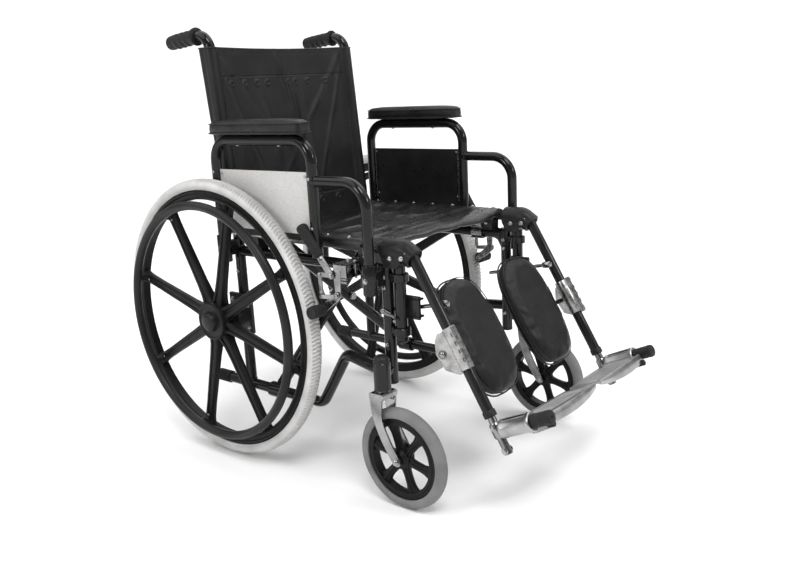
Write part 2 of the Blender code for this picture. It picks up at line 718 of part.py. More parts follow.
def calf_pad():
    """Oval pad behind and inboard of the strut."""
    length, width, thick = 0.240, 0.148, 0.030
    middle_down, middle_in = 0.186, 0.101
    back = -0.036
    count = 22
    rings = []
    for depth, grow in ((0, 0.90), (0.003, 0.97), (0.010, 1.0), (thick - 0.012, 1.0), (thick - 0.004, 0.95),
                        (thick, 0.82)):
        ring = []
        for k in range(count):
            angle = 2 * pi * k / count
            c, s = cos(angle), sin(angle)
            rounder = 0.72
            across = math.copysign(abs(c) ** rounder, c) * (width / 2 - 0.011 * (1 - grow) * 4)
            down = math.copysign(abs(s) ** rounder, s) * (length / 2 - 0.011 * (1 - grow) * 4)
            ring.append(leg_point(middle_in + across, middle_down + down, back + depth))
        rings.append(ring)
    return plain(loft(rings))


def leg_tube():
    """Sliding lower tube with its clamp bolt, and the bar that carries the footplate."""
    bar_start = leg_point(0, BAR_S, 0)
    bar_end = bar_start + BAR_ALONG * 0.112
    solids = [
        rod(leg_point(0, 0.212, 0), leg_point(0, BAR_S + 0.046, 0), LEG_TUBE_R),
        rod(bar_start, bar_end, 0.0078),
        rod(leg_point(-0.011, BAR_S + 0.038, 0), leg_point(0.011, BAR_S + 0.038, 0), 0.0045, 8),
    ]
    return fused(solids)


BAR_ALONG = Vector((0, -cos(PLATE_TILT), sin(PLATE_TILT)))
PLATE_UP = Vector((0, sin(PLATE_TILT), cos(PLATE_TILT)))


def plate_point(inboard, along, up):
    """A place on the footplate: inboard of its bar, along it from the leg tube, and above it."""
    return leg_point(0, BAR_S, 0) + INBOARD * inboard + BAR_ALONG * along + PLATE_UP * up


def footplate():
    """Cast plate with a hinge sleeve round the bar, and a curved apron down its front edge."""
    side, corner = 0.006, 0.020
    rear, shoulder, front = 0.016, 0.076, 0.100
    deck_low, deck_high = -0.004, 0.002
    steps = 8
    edge = []
    apron = []
    for k in range(steps + 1):
        t = k / steps
        inboard = PLATE_REACH + (corner - PLATE_REACH) * t
        edge.append((inboard, front + 0.006 * sin(pi * t)))
        apron.append((inboard, deck_low - 0.003 - 0.009 * t ** 0.5 - 0.005 * sin(pi * t)))
    outline = [(side, rear), (PLATE_REACH, rear + 0.012)] + edge + [(corner, shoulder), (side, shoulder)]
    deck = slab(outline, deck_high - deck_low, lambda u, v, w: plate_point(u, v, deck_low + w))
    skirt = apron + [(corner, deck_high - 0.001), (PLATE_REACH, deck_high - 0.001)]
    front_lip = slab(skirt, 0.005, lambda u, v, w: plate_point(u, front - 0.006 + w, v))
    rear_lip = slab(capsule((0.012, rear + 0.003), (PLATE_REACH - 0.004, rear + 0.016), 0.0035, 3), 0.010,
                    lambda u, v, w: plate_point(u, v, deck_low - 0.007 + w))
    # a corner of the sleeve's outline faces inboard, so nothing overhangs the deck beside it
    sleeve = slab(polygon(0.0170, 16), SLEEVE_END - SLEEVE_START,
                  lambda u, v, w: plate_point(u, SLEEVE_START + w, v))
    bore = rod(plate_point(0, 0.0, 0), plate_point(0, 0.12, 0), 0.0087, 16)
    return fused([sleeve, deck, front_lip, rear_lip], [bore])


def bar_tip():
    """Rubber cap over the bar's front end."""
    start = SLEEVE_END + 0.0006
    profile = [(start, 0.0), (start, 0.0125), (0.116, 0.0125), (0.120, 0.009), (0.120, 0.0)]
    bore = rod(plate_point(0, 0.07, 0), plate_point(0, 0.1125, 0), 0.0085, 16)
    return fused([turned(profile, leg_point(0, BAR_S, 0), BAR_ALONG, 16)], [bore])


PAD_HINGE = (0.022, 0.190, -0.021)
ROD_DOWN = 0.110            # distance down the strut to the elevating rod's pivot
ROD_X = SIDE_X - 0.0205
GUIDE = (HANGER_Y - 0.027, 0.375)


def elevating_rod():
    """Rod from the strut back through the hanger's guide, with its round knob."""
    knob = LEG_TOP + DOWN_LEG * ROD_DOWN
    start = Vector((ROD_X, knob.y, knob.z))
    along = (Vector((ROD_X, *GUIDE)) - start).normalized()
    profile = [(-0.010, 0.0), (-0.010, 0.0065), (0.010, 0.0065), (0.012, 0.0040), (0.150, 0.0040),
               (0.150, 0.0)]
    return plain(turned(profile, start, along, 12))


# ------------------------------------------------------------------ cross brace and soft goods

BRACE_MIDDLE_Z = (SEAT_Z + LOWER_Z) / 2


def brace(y, low_side):
    """One arm of the cross: a sleeve round one lower rail, and the opposite seat rail welded on."""
    low_x, high_x = low_side * SIDE_X, -low_side * SIDE_X
    low, high = Vector((low_x, y, LOWER_Z)), Vector((high_x, y, SEAT_Z))
    along = (high - low).normalized()
    solids = [
        rod(low + along * 0.010, high - along * 0.002, BRACE_R),
        rod((low_x, y - 0.019, LOWER_Z), (low_x, y + 0.019, LOWER_Z), 0.0168, 16),
        rod((high_x, SEAT_FRONT_Y, SEAT_Z), (high_x, SEAT_REAR_Y, SEAT_Z), RAIL_R),
    ]
    cuts = [
        rod((low_x, y - 0.03, LOWER_Z), (low_x, y + 0.03, LOWER_Z), TUBE_R + 0.0012, 16),
        rod((0, y - 0.03, BRACE_MIDDLE_Z), (0, y + 0.03, BRACE_MIDDLE_Z), 0.0048, 12),
    ]
    return fused(solids, cuts)


def brace_bolt():
    """Bolt through the middle of both brace arms, with its head and nut."""
    front = BRACE_B_Y - BRACE_R - GAP
    rear = BRACE_A_Y + BRACE_R + GAP
    profile = [(front - 0.006, 0.0), (front - 0.006, 0.0085), (front, 0.0085), (front, 0.0042),
               (rear, 0.0042), (rear, 0.0085), (rear + 0.006, 0.0085), (rear + 0.006, 0.0)]
    return plain(turned(profile, (0, 0, BRACE_MIDDLE_Z), (0, 1, 0), 12))


def seat_sling():
    """Seat cloth over both seat rails, sagging between them."""
    top = SEAT_Z + RAIL_R
    half = SIDE_X + 0.010
    inside = SIDE_X - RAIL_R - 0.001
    columns = 10
    sag = 0.020
    stations = [-half] + [inside * (-1 + 2 * k / columns) for k in range(columns + 1)] + [half]

    def section(lift):
        return [(x, top + GAP + lift - sag * (1 - min(abs(x) / inside, 1) ** 2.5)) for x in stations]

    low, high = section(0), section(0.005)
    outline = low + list(reversed(high))
    depth = SEAT_REAR_Y - SEAT_FRONT_Y
    return plain(slab(outline, depth, lambda u, v, w: Vector((u, SEAT_FRONT_Y + w, v))))


def cane_y(z):
    """Middle line of the leaning back cane."""
    base = UPPER_Z + 0.02
    return UPRIGHT_Y + (CANE_TOP_Y - UPRIGHT_Y) * (z - base) / (HANDLE_Z - base)


def back_sling():
    """Back cloth between the canes, with a sleeve round each of them."""
    low, high = BACK_LOW, BACK_HIGH
    edge = SIDE_X - TUBE_R - 0.002
    sheet = slab([(cane_y(low) - 0.003, low), (cane_y(low) + 0.003, low),
                  (cane_y(high) + 0.003, high), (cane_y(high) - 0.003, high)],
                 2 * edge, lambda u, v, w: Vector((w - edge, u, v)))
    solids = [sheet]
    cuts = []
    for x in (-SIDE_X, SIDE_X):
        ends = [Vector((x, cane_y(z), z)) for z in (low, high)]
        reach = (ends[1] - ends[0]).normalized() * 0.02
        solids.append(rod(*ends, 0.0150, 12))
        cuts.append(rod(ends[0] - reach, ends[1] + reach, 0.0129, 12))
    return fused(solids, cuts)


# ------------------------------------------------------------------ the chair


def build():
    for old in list(bpy.data.objects):
        bpy.data.objects.remove(old)

    braces = {
        "a": pivot("fold_axis", (-SIDE_X, BRACE_A_Y, LOWER_Z)),
        "b": pivot("brace_middle", (0, BRACE_B_Y, BRACE_MIDDLE_Z)),
    }
    braces["b"].parent = braces["a"]
    braces["b"].location = Vector(braces["b"]["world"]) - Vector(braces["a"]["world"])
    left_frame = pivot("left_frame_axis", (SIDE_X, BRACE_B_Y, LOWER_Z), braces["b"])
    frames = {"left": left_frame, "right": None}

    both_sides("side_frame", side_frame(), "frame_black", frames)
    both_sides("push_grip", push_grip(), "grip_black", frames)
    both_sides("axle_bolt", axle_bolt(), "steel_bright", frames)
    both_sides("brake_clamp", brake_clamp(), "steel_bright", frames)

    wheels = side_pivots("wheel_axis", (WHEEL_X, AXLE_Y, WHEEL_R), frames)
    both_sides("rear_wheel", rear_wheel(), "plastic_black", wheels)
    both_sides("rear_tyre", rear_tyre(), "tyre_grey", wheels)
    both_sides("handrim", handrim(), "plastic_black", wheels)
    both_sides("hub_cap", hub_cap(), "plastic_black", wheels)

    swivels = side_pivots("caster_stem_axis", (CASTER_X, STEM_Y, HOUSING_LOW), frames)
    both_sides("caster_fork", caster_fork(), "steel_bright", swivels)
    casters = side_pivots("caster_axis", (CASTER_X, CASTER_AXLE_Y, CASTER_R), swivels)
    both_sides("caster_wheel", caster_wheel(), "plastic_black", casters)
    both_sides("caster_tyre", caster_tyre(), "caster_grey", casters)

    arms = side_pivots("arm_slide", (ARM_X, ARM_FRONT_Y, UPPER_Z), frames)
    both_sides("arm_frame", arm_frame(), "frame_black", arms)
    both_sides("arm_pad", arm_pad(), "vinyl_black", arms)
    both_sides("skirt_panel", skirt_panel(), "panel_grey", arms)

    levers = side_pivots("brake_lever_axis", (BRAKE_X, *LEVER_PIVOT), frames)
    both_sides("brake_lever", brake_lever(), "steel_bright", levers)
    both_sides("brake_grip", brake_grip(), "grip_black", levers)
    shoes = side_pivots("brake_arm_axis", (BRAKE_X, *SHOE_PIVOT), frames)
    both_sides("brake_arm", brake_arm(), "steel_bright", shoes)
    both_sides("brake_shoe", brake_shoe(), "rubber_black", shoes)

    swings = side_pivots("legrest_swing_axis", (SIDE_X, HANGER_Y, UPPER_Z), frames)
    both_sides("legrest_hanger", legrest_hanger(), "frame_black", swings)
    releases = side_pivots("release_axis", (SIDE_X + TUBE_R, *RELEASE_PIVOT), frames)
    both_sides("release_lever", release_lever(), "steel_bright", releases)
    legs = side_pivots("leg_axis", (SIDE_X, PIVOT_Y, PIVOT_Z), swings)
    both_sides("legrest_strut", legrest_strut(), "frame_black", legs)
    both_sides("calf_bracket", calf_bracket(), "steel_bright", legs)
    pads = side_pivots("calf_pad_axis", tuple(leg_point(*PAD_HINGE)), legs)
    both_sides("calf_pad", calf_pad(), "vinyl_black", pads)
    rods = side_pivots("elevating_rod_axis", (ROD_X, *(LEG_TOP + DOWN_LEG * ROD_DOWN)[1:]), legs)
    both_sides("elevating_rod", elevating_rod(), "steel_bright", rods)
    tubes = side_pivots("leg_tube_slide", tuple(leg_point(0, STRUT_LENGTH, 0)), legs)
    both_sides("leg_tube", leg_tube(), "steel_bright", tubes)
    both_sides("bar_tip", bar_tip(), "rubber_black", tubes)
    plates = side_pivots("footplate_axis", tuple(plate_point(0, 0.05, 0)), tubes)
    both_sides("footplate", footplate(), "cast_aluminium", plates)

    node("brace_a", brace(BRACE_A_Y, -1), "frame_black", braces["a"])
    node("brace_b", brace(BRACE_B_Y, 1), "frame_black", braces["b"])
    node("brace_bolt", brace_bolt(), "steel_bright", braces["a"])
    node("seat_sling", seat_sling(), "vinyl_black", braces["a"])
    node("back_sling", back_sling(), "vinyl_black")


build()
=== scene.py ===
"""Looks of a folding manual wheelchair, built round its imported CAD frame.

Metres, in the frame of the CAD: the floor is z = 0, the front of the chair is -Y, and the sitter's
left is +X. Side pieces are made once, on the left, and mirrored for the right.
"""

import math
from math import cos, pi, radians, sin

import bmesh
import bpy
from mathutils import Matrix, Vector, noise


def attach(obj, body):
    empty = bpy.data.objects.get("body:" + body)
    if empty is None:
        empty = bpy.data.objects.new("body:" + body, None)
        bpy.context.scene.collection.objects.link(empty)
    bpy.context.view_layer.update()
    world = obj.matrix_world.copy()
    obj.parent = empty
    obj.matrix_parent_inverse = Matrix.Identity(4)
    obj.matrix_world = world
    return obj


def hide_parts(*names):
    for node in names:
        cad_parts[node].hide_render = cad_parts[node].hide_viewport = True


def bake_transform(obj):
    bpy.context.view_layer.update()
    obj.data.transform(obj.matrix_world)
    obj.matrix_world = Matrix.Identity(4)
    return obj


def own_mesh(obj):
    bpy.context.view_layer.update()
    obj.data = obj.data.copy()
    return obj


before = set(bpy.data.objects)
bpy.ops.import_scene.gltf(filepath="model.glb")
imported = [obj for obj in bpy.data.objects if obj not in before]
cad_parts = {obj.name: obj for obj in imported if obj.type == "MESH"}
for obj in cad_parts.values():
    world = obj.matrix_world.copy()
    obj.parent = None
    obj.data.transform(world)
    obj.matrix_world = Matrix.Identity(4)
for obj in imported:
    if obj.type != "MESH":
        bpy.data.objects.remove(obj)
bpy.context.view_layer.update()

# ------------------------------------------------------------------ dimensions, as in the CAD
SIDES = (("left", 1), ("right", -1))
SIDE_X = 0.207
AXLE_Y = 0.2366
WHEEL_R = 0.305
TUBE_R = 0.0115
RAIL_R = 0.011
UPRIGHT_Y = AXLE_Y - 0.004
FRONT_Y = AXLE_Y - 0.427
LOWER_Z = 0.137
UPPER_Z = 0.445
SEAT_Z = 0.486
SEAT_REAR_Y = AXLE_Y - 0.030
SEAT_FRONT_Y = AXLE_Y - 0.414
CANE_TOP_Y = AXLE_Y + 0.033
HANDLE_Z = 0.903
HANDLE_END_Y = AXLE_Y + 0.165
BACK_LOW, BACK_HIGH = 0.484, 0.874

WHEEL_X = 0.2795
TYRE_W = 0.030
RIM_W = 0.022
RIM_R = 0.2822
RIM_DEPTH = 0.020
HUB_R = 0.042
SPOKES = 8
SPOKE_PHASE = radians(15.5)
SPOKE_HALF = 0.008
HANDRIM_X = 0.3125
HANDRIM_R = 0.2525
HANDRIM_TUBE_R = 0.0095

CASTER_X = 0.262
STEM_Y = AXLE_Y - 0.449
CASTER_AXLE_Y = AXLE_Y - 0.491
CASTER_R = 0.100
CASTER_W = 0.026
CASTER_RIM_R = 0.0805
CASTER_SPOKES = 6
HOUSING_LOW = 0.227
HOUSING_TOP = 0.294

ARM_X = 0.2475
ARM_REAR_Y = AXLE_Y - 0.004
ARM_MID_Y = AXLE_Y - 0.287
ARM_FRONT_Y = AXLE_Y - 0.420
ARM_TOP_Z = 0.687
ARM_STEP_Z = 0.611
PAD_REAR_Y = AXLE_Y - 0.006
PAD_FRONT_Y = AXLE_Y - 0.280
PAD_THICK = 0.031
PANEL_LOW, PANEL_HIGH = 0.506, 0.627

RELEASE_PIVOT = (FRONT_Y + 0.004, 0.367)
HANGER_Y = AXLE_Y - 0.457
PIVOT_Y = AXLE_Y - 0.486
PIVOT_Z = 0.483
LEG_ANGLE = radians(30.5)
STRUT_R = 0.0105
STRUT_LENGTH = 0.326
LEG_TUBE_R = 0.0080
BAR_S = 0.354
PLATE_TILT = radians(25)
PLATE_REACH = 0.196
SLEEVE_START = 0.0125
SLEEVE_END = 0.0800

BRACE_A_Y = AXLE_Y - 0.091
BRACE_B_Y = AXLE_Y - 0.125
BRACE_R = 0.0125

LEVER_PIVOT = (AXLE_Y - 0.336, 0.436)
SHOE_PIVOT = (AXLE_Y - 0.348, 0.396)
LEVER_TOP = (AXLE_Y - 0.259, 0.527)
BRAKE_X = 0.2665
CLAMP_X = BRAKE_X - 0.0080  # inboard face of the clamp's plate
LEVER_X = CLAMP_X + 0.0043  # inboard face of the lever and of the shoe's arm
SHOE_R = 0.0125
ROD_DOWN = 0.110
ROD_X = SIDE_X - 0.0205
GUIDE = (HANGER_Y - 0.027, 0.375)

SEAT_SAG = 0.014
SLING_HALF = SIDE_X - 0.0125   # from the middle of the back cloth to where it enters its sleeves
STUDIO_HORIZON = 1.15       # brightness of the backdrop
ROOM_LIGHT = 0.16           # overhead
BACKDROP_LIGHT = 0.4        # share of the backdrop's brightness that lights the chair

# sockets of the arm's two posts: where, and from what height to what height
SOCKETS = ((ARM_REAR_Y, 0.428, 0.486), (ARM_FRONT_Y, 0.404, 0.461))
SADDLES = (SEAT_FRONT_Y + 0.030, SEAT_REAR_Y - 0.040)
COLLARS = (0.322, 0.426)    # undersides of the collars that the leg rest hangs in

ALONG_X, ALONG_Y, ALONG_Z = Vector((1, 0, 0)), Vector((0, 1, 0)), Vector((0, 0, 1))

# ------------------------------------------------------------------ camera


def photo_camera():
    """A camera at the photograph's angle, distance and roll."""
    azimuth, elevation, roll = radians(-49.5533), radians(14.1148), radians(-2.9248)
    place = Vector((-1.3572, -1.1826, 0.7803))
    back = Vector((sin(azimuth) * cos(elevation), -cos(azimuth) * cos(elevation), sin(elevation)))
    across = (-back).cross(ALONG_Z).normalized()
    upward = across.cross(-back)
    right = across * cos(roll) + upward * sin(roll)
    top = upward * cos(roll) - across * sin(roll)
    camera = bpy.data.objects.new("camera", bpy.data.cameras.new("camera"))
    bpy.context.scene.collection.objects.link(camera)
    camera.matrix_world = Matrix.Translation(place) @ Matrix((right, top, back)).transposed().to_4x4()
    camera.data.sensor_width = 36
    camera.data.lens = 37.99
    camera.data.clip_end = 200
    bpy.context.scene.camera = camera


photo_camera()

# ------------------------------------------------------------------ materials


class Look:
    """A procedural material, built node by node round a Principled shader."""

    def __init__(self, name, **constants):
        self.material = bpy.data.materials.new(name)
        self.material.use_nodes = True
        self.tree = self.material.node_tree
        self.shader = self.tree.nodes["Principled BSDF"]
        self.place = self.add("ShaderNodeTexCoord").outputs["Object"]
        for socket, value in constants.items():
            self.shader.inputs[socket.replace("_", " ")].default_value = value

    def add(self, kind, inputs=None, **settings):
        """A new node; an input is a number, a colour or the socket that feeds it."""
        made = self.tree.nodes.new(kind)
        for key, value in settings.items():
            setattr(made, key, value)
        for key, value in (inputs or {}).items():
            if isinstance(value, bpy.types.NodeSocket):
                self.tree.links.new(value, made.inputs[key])
            else:
                made.inputs[key].default_value = value
        return made

    def noise(self, scale, detail=4.0, stretch=None):
        """Cloudy pattern from 0 to 1; stretch scales the axes apart."""
        place = self.place
        if stretch:
            place = self.add("ShaderNodeMapping", {"Vector": place, "Scale": stretch}).outputs[0]
        return self.add("ShaderNodeTexNoise", {"Vector": place, "Scale": scale, "Detail": detail}).outputs[0]

    def ramp(self, factor, stops):
        """A colour for each (position, colour) stop."""
        made = self.add("ShaderNodeValToRGB", {"Fac": factor})
        elements = made.color_ramp.elements
        while len(elements) < len(stops):
            elements.new(0.5)
        for element, (position, colour) in zip(elements, stops):
            element.position = position
            element.color = (*colour, 1)
        return made.outputs["Color"]

    def between(self, factor, low, high, start=0.3, end=0.7):
        """A number that goes from low to high as the factor goes from start to end."""
        return self.add("ShaderNodeMapRange", {"Value": factor, "From Min": start, "From Max": end,
                                               "To Min": low, "To Max": high}).outputs[0]

    def colour(self, socket):
        """The colour of the surface."""
        self.tree.links.new(socket, self.shader.inputs["Base Color"])

    def roughness(self, socket):
        """The roughness of the surface."""
        self.tree.links.new(socket, self.shader.inputs["Roughness"])

    def bump(self, height, strength, distance):
        """Adds to the surface's bumps; each call builds on the one before."""
        inputs = {"Height": height, "Strength": strength, "Distance": distance}
        normal = self.shader.inputs["Normal"]
        if normal.is_linked:
            inputs["Normal"] = normal.links[0].from_socket
        self.tree.links.new(self.add("ShaderNodeBump", inputs).outputs[0], normal)

    def worn(self, base, bare, start, end):
        """The base colour, with the bare one where edges stick out and a cloud allows it."""
        edge = self.add("ShaderNodeNewGeometry").outputs["Pointiness"]
        mask = self.between(edge, 0.0, 1.0, start, end)
        patchy = self.add("ShaderNodeMath", {0: mask, 1: self.between(self.noise(90), 0.0, 1.0, 0.45, 0.62)},
                          operation="MULTIPLY").outputs[0]
        mix = self.add("ShaderNodeMix", {"Factor": patchy}, data_type="RGBA")
        self.tree.links.new(base, mix.inputs["A"])
        mix.inputs["B"].default_value = (*bare, 1)
        return mix.outputs["Result"]


def grey(value, warmth=0.0):
    """A neutral colour, or a slightly warm one."""
    return (value * (1 + warmth), value, value * (1 - warmth))


def painted(name, dark, light, roughness):
    """Gloss powder coat with a faint orange peel."""
    look = Look(name, Coat_Weight=0.30, Coat_Roughness=0.05, Specular_IOR_Level=0.12)
    base = look.ramp(look.noise(18), [(0.3, grey(dark)), (0.7, grey(light))])
    look.colour(look.worn(base, grey(0.05), 0.62, 0.76))
    look.roughness(look.between(look.noise(60), *roughness))
    look.bump(look.noise(420, 2.0), 0.10, 0.0004)
    return look.material


def moulded(name, dark, light, roughness, grain=700):
    """Moulded plastic with a fine spark-eroded grain."""
    look = Look(name, Specular_IOR_Level=0.18)
    base = look.ramp(look.noise(14, 6.0), [(0.3, grey(dark)), (0.7, grey(light))])
    look.colour(look.worn(base, grey(light * 2.4), 0.60, 0.74))
    look.roughness(look.between(look.noise(45), *roughness))
    look.bump(look.noise(grain, 2.0), 0.22, 0.0005)
    return look.material


def rubber(name, dark, light, warmth, roughness):
    """Solid rubber: clouded, dusty and finely pitted."""
    look = Look(name, Specular_IOR_Level=0.3)
    clouds = look.noise(22, 6.0)
    base = look.ramp(clouds, [(0.30, grey(dark, warmth)), (0.52, grey((dark + light) / 2, warmth)),
                              (0.72, grey(light, warmth))])
    look.colour(base)
    look.roughness(look.between(look.noise(80), *roughness))
    look.bump(look.noise(900, 3.0), 0.25, 0.0004)
    look.bump(look.noise(130, 3.0), 0.15, 0.0008)
    return look.material


def vinyl(name, dark, light, roughness, pebble):
    """Upholstery vinyl: a pebbled leather grain with creases between the cells."""
    look = Look(name, Specular_IOR_Level=0.22, Coat_Weight=0.06, Coat_Roughness=0.3)
    look.colour(look.ramp(look.noise(30, 6.0), [(0.3, grey(dark)), (0.7, grey(light))]))
    look.roughness(look.between(look.noise(70), *roughness))
    cells = look.add("ShaderNodeTexVoronoi", {"Vector": look.place, "Scale": pebble},
                     feature="DISTANCE_TO_EDGE").outputs[0]
    look.bump(look.between(cells, 0.0, 1.0, 0.0, 0.25), 0.35, 0.0005)
    look.bump(look.noise(pebble * 0.45, 5.0), 0.22, 0.0009)
    return look.material


def woven(name, dark, light, roughness, pitch, gloss=0.25):
    """Coated cloth: a plain weave seen through its coating, with soft creases."""
    look = Look(name, Specular_IOR_Level=gloss, Coat_Weight=gloss * 0.4, Coat_Roughness=0.35)
    threads = []
    for direction in ("X", "Z"):
        threads.append(look.add("ShaderNodeTexWave", {"Vector": look.place, "Scale": pitch, "Distortion": 1.2,
                                                      "Detail": 1.0, "Detail Scale": 2.0},
                                bands_direction=direction).outputs["Fac"])
    weave = look.add("ShaderNodeMath", {0: threads[0], 1: threads[1]}, operation="MULTIPLY").outputs[0]
    clouds = look.add("ShaderNodeMath", {0: look.between(look.noise(11, 6.0), 0.0, 0.8),
                                         1: look.between(weave, 0.0, 0.2, 0.0, 1.0)},
                      operation="ADD").outputs[0]
    look.colour(look.ramp(clouds, [(0.15, grey(dark)), (0.85, grey(light))]))
    look.roughness(look.between(look.noise(26), *roughness))
    look.bump(weave, 0.30, 0.0004)
    look.bump(look.noise(60, 5.0), 0.25, 0.0012)
    return look.material


def metal(name, dark, light, roughness, warmth=0.0, stretch=None, scratch=0.06, cloud=30):
    """Bright metal, brushed along one axis where stretch says so."""
    look = Look(name, Metallic=1.0)
    base = look.ramp(look.noise(cloud, 5.0), [(0.32, grey(dark, warmth)), (0.68, grey(light, warmth))])
    look.colour(base)
    look.roughness(look.between(look.noise(120, 3.0, stretch), *roughness))
    look.bump(look.noise(380, 3.0, stretch), scratch, 0.0004)
    return look.material


def lacquered_panel():
    """Pale warm grey side panel with a fine mottle."""
    look = Look("panel_pale", Specular_IOR_Level=0.4, Coat_Weight=0.15, Coat_Roughness=0.35)
    base = look.ramp(look.noise(520, 3.0), [(0.35, grey(0.46, 0.02)), (0.65, grey(0.62, 0.02))])
    clouded = look.add("ShaderNodeMix", {"Factor": look.between(look.noise(9), 0.0, 0.35)}, data_type="RGBA")
    look.tree.links.new(base, clouded.inputs["A"])
    clouded.inputs["B"].default_value = (*grey(0.42, 0.03), 1)
    look.colour(clouded.outputs["Result"])
    look.roughness(look.between(look.noise(40), 0.38, 0.55))
    look.bump(look.noise(650, 2.0), 0.12, 0.0003)
    return look.material


PAINT = painted("paint_black", 0.006, 0.012, (0.10, 0.24))
PAINT_SATIN = painted("paint_satin", 0.009, 0.018, (0.25, 0.42))
WHEEL_BLACK = moulded("wheel_plastic", 0.003, 0.008, (0.34, 0.52))
CAP_BLACK = moulded("cap_plastic", 0.010, 0.020, (0.28, 0.42))
GRIP_BLACK = moulded("grip_rubber", 0.010, 0.020, (0.45, 0.65), 900)
RUBBER_BLACK = rubber("rubber_black", 0.008, 0.016, 0.0, (0.55, 0.8))
TYRE_PALE = rubber("tyre_pale", 0.46, 0.62, 0.012, (0.6, 0.85))
TYRE_GREY = rubber("tyre_grey", 0.14, 0.22, 0.0, (0.5, 0.75))
VINYL = vinyl("vinyl_black", 0.008, 0.016, (0.26, 0.42), 620)
VINYL_PAD = vinyl("vinyl_pad", 0.005, 0.012, (0.32, 0.48), 620)
SLING = woven("sling_cloth", 0.005, 0.012, (0.36, 0.54), 260)
SEAT_CLOTH = woven("seat_cloth_black", 0.005, 0.012, (0.22, 0.40), 260, 0.5)
PIPING = vinyl("piping_black", 0.010, 0.018, (0.3, 0.45), 900)
THREAD = woven("thread_black", 0.03, 0.06, (0.6, 0.8), 900)
CHROME = metal("chrome", 0.17, 0.36, (0.12, 0.30), 0.0, None, 0.05)
ZINC = metal("zinc_plate", 0.24, 0.46, (0.20, 0.38), 0.01, None, 0.10, 60)
CAST = metal("cast_aluminium", 0.30, 0.44, (0.28, 0.42), 0.0, None, 0.10, 30)
PANEL = lacquered_panel()

# ------------------------------------------------------------------ shapes: (points, faces)


def loft(rings, closed=False):
    """A skin through rings of equal count, with flat ends unless it closes on itself."""
    count = len(rings[0])
    points = [Vector(p) for ring in rings for p in ring]
    pairs = [(k, k + 1) for k in range(len(rings) - 1)]
    if closed:
        pairs.append((len(rings) - 1, 0))
    faces = []
    for low, high in pairs:
        for k in range(count):
            j = (k + 1) % count
            faces.append((low * count + k, low * count + j, high * count + j, high * count + k))
    if not closed:
        last = (len(rings) - 1) * count
        faces.append(tuple(range(count - 1, -1, -1)))
        faces.append(tuple(last + k for k in range(count)))
    return points, faces


def grid(rows):
    """An open sheet through rows of points."""
    count = len(rows[0])
    faces = []
    for r in range(len(rows) - 1):
        for k in range(count - 1):
            faces.append((r * count + k, r * count + k + 1, (r + 1) * count + k + 1, (r + 1) * count + k))
    return [Vector(p) for row in rows for p in row], faces


def joined(*shapes):
    """Several shapes as one."""
    points, faces = [], []
    for more_points, more_faces in shapes:
        start = len(points)
        points += more_points
        faces += [tuple(start + k for k in face) for face in more_faces]
    return points, faces


def moved(shape, change):
    """The shape with each point passed through a function."""
    return [Vector(change(p)) for p in shape[0]], shape[1]


def circle(radius, count, turn=0.0):
    """Corners of a regular polygon."""
    return [(radius * cos(turn + 2 * pi * k / count), radius * sin(turn + 2 * pi * k / count))
            for k in range(count)]


def smooth_step(t):
    """0 below 0, 1 above 1, and a soft curve between."""
    t = min(max(t, 0.0), 1.0)
    return t * t * (3 - 2 * t)


def lumps(*place):
    """Smooth lumpy noise at a place, from about -1 to 1."""
    return noise.noise(Vector(place))


def rounded_path(corners, radius, steps=10):
    """The corner points, with an arc at each inner corner."""
    corners = [Vector(c) for c in corners]
    path = [corners[0]]
    for before, corner, after in zip(corners, corners[1:], corners[2:]):
        back = (before - corner).normalized()
        ahead = (after - corner).normalized()
        half = back.angle(ahead) / 2
        reach = radius / math.tan(half)
        middle = corner + (back + ahead).normalized() * radius / sin(half)
        start = corner + back * reach - middle
        turn_axis = start.cross(corner + ahead * reach - middle)
        sweep = pi - 2 * half
        for k in range(steps + 1):
            path.append(middle + Matrix.Rotation(sweep * k / steps, 3, turn_axis) @ start)
    path.append(corners[-1])
    return path


def tube_rings(path, radius, sides=24, closed=False):
    """Rings round a path; radius is a number or one number for each point."""
    path = [Vector(p) for p in path]
    radii = radius if hasattr(radius, "__len__") else [radius] * len(path)
    last = len(path) - 1
    tangents = []
    for k, point in enumerate(path):
        ahead = path[(k + 1) % len(path)] if closed else path[min(k + 1, last)]
        behind = path[k - 1] if closed or k else path[0]
        tangents.append(((ahead - point).normalized() + (point - behind).normalized()).normalized())
    across = tangents[0].orthogonal().normalized()
    rings = []
    for k, (point, tangent) in enumerate(zip(path, tangents)):
        if k:
            across = tangents[k - 1].rotation_difference(tangent) @ across
        across = (across - tangent * across.dot(tangent)).normalized()
        other = tangent.cross(across)
        rings.append([point + across * u + other * v for u, v in circle(radii[k], sides)])
    return rings


def tube(path, radius, sides=24, closed=False):
    """A round bar along a path."""
    return loft(tube_rings(path, radius, sides, closed), closed)


def stitched(lines, out):
    """Short raised stitches along each line of points, on the side that faces out."""
    shapes = []
    for line in lines:
        for a, b in list(zip(line, line[1:]))[::2]:
            a, b = a + out * 0.0017, b + out * 0.0017
            shapes.append(tube([a, (a + b) / 2 + out * 0.0004, b], 0.0005, 6))
    return joined(*shapes)


def rod(start, end, radius, sides=24, edge=0.0008):
    """A straight round bar with slightly rounded ends."""
    start, end = Vector(start), Vector(end)
    along = (end - start).normalized() * edge
    narrow = radius - edge
    return tube([start, start + along, end - along, end], [narrow, radius, radius, narrow], sides)


def turned(profile, centre, axis, steps=32):
    """A profile of (along, radius) turned about an axis; a profile with no radius 0 is a ring."""
    axis = Vector(axis).normalized()
    across = axis.orthogonal().normalized()
    other = axis.cross(across)
    rows = [[Vector(centre) + axis * along + across * u + other * v for u, v in circle(radius, steps)]
            for along, radius in profile if radius > 0]
    return loft(rows, closed=profile[0][1] > 0)


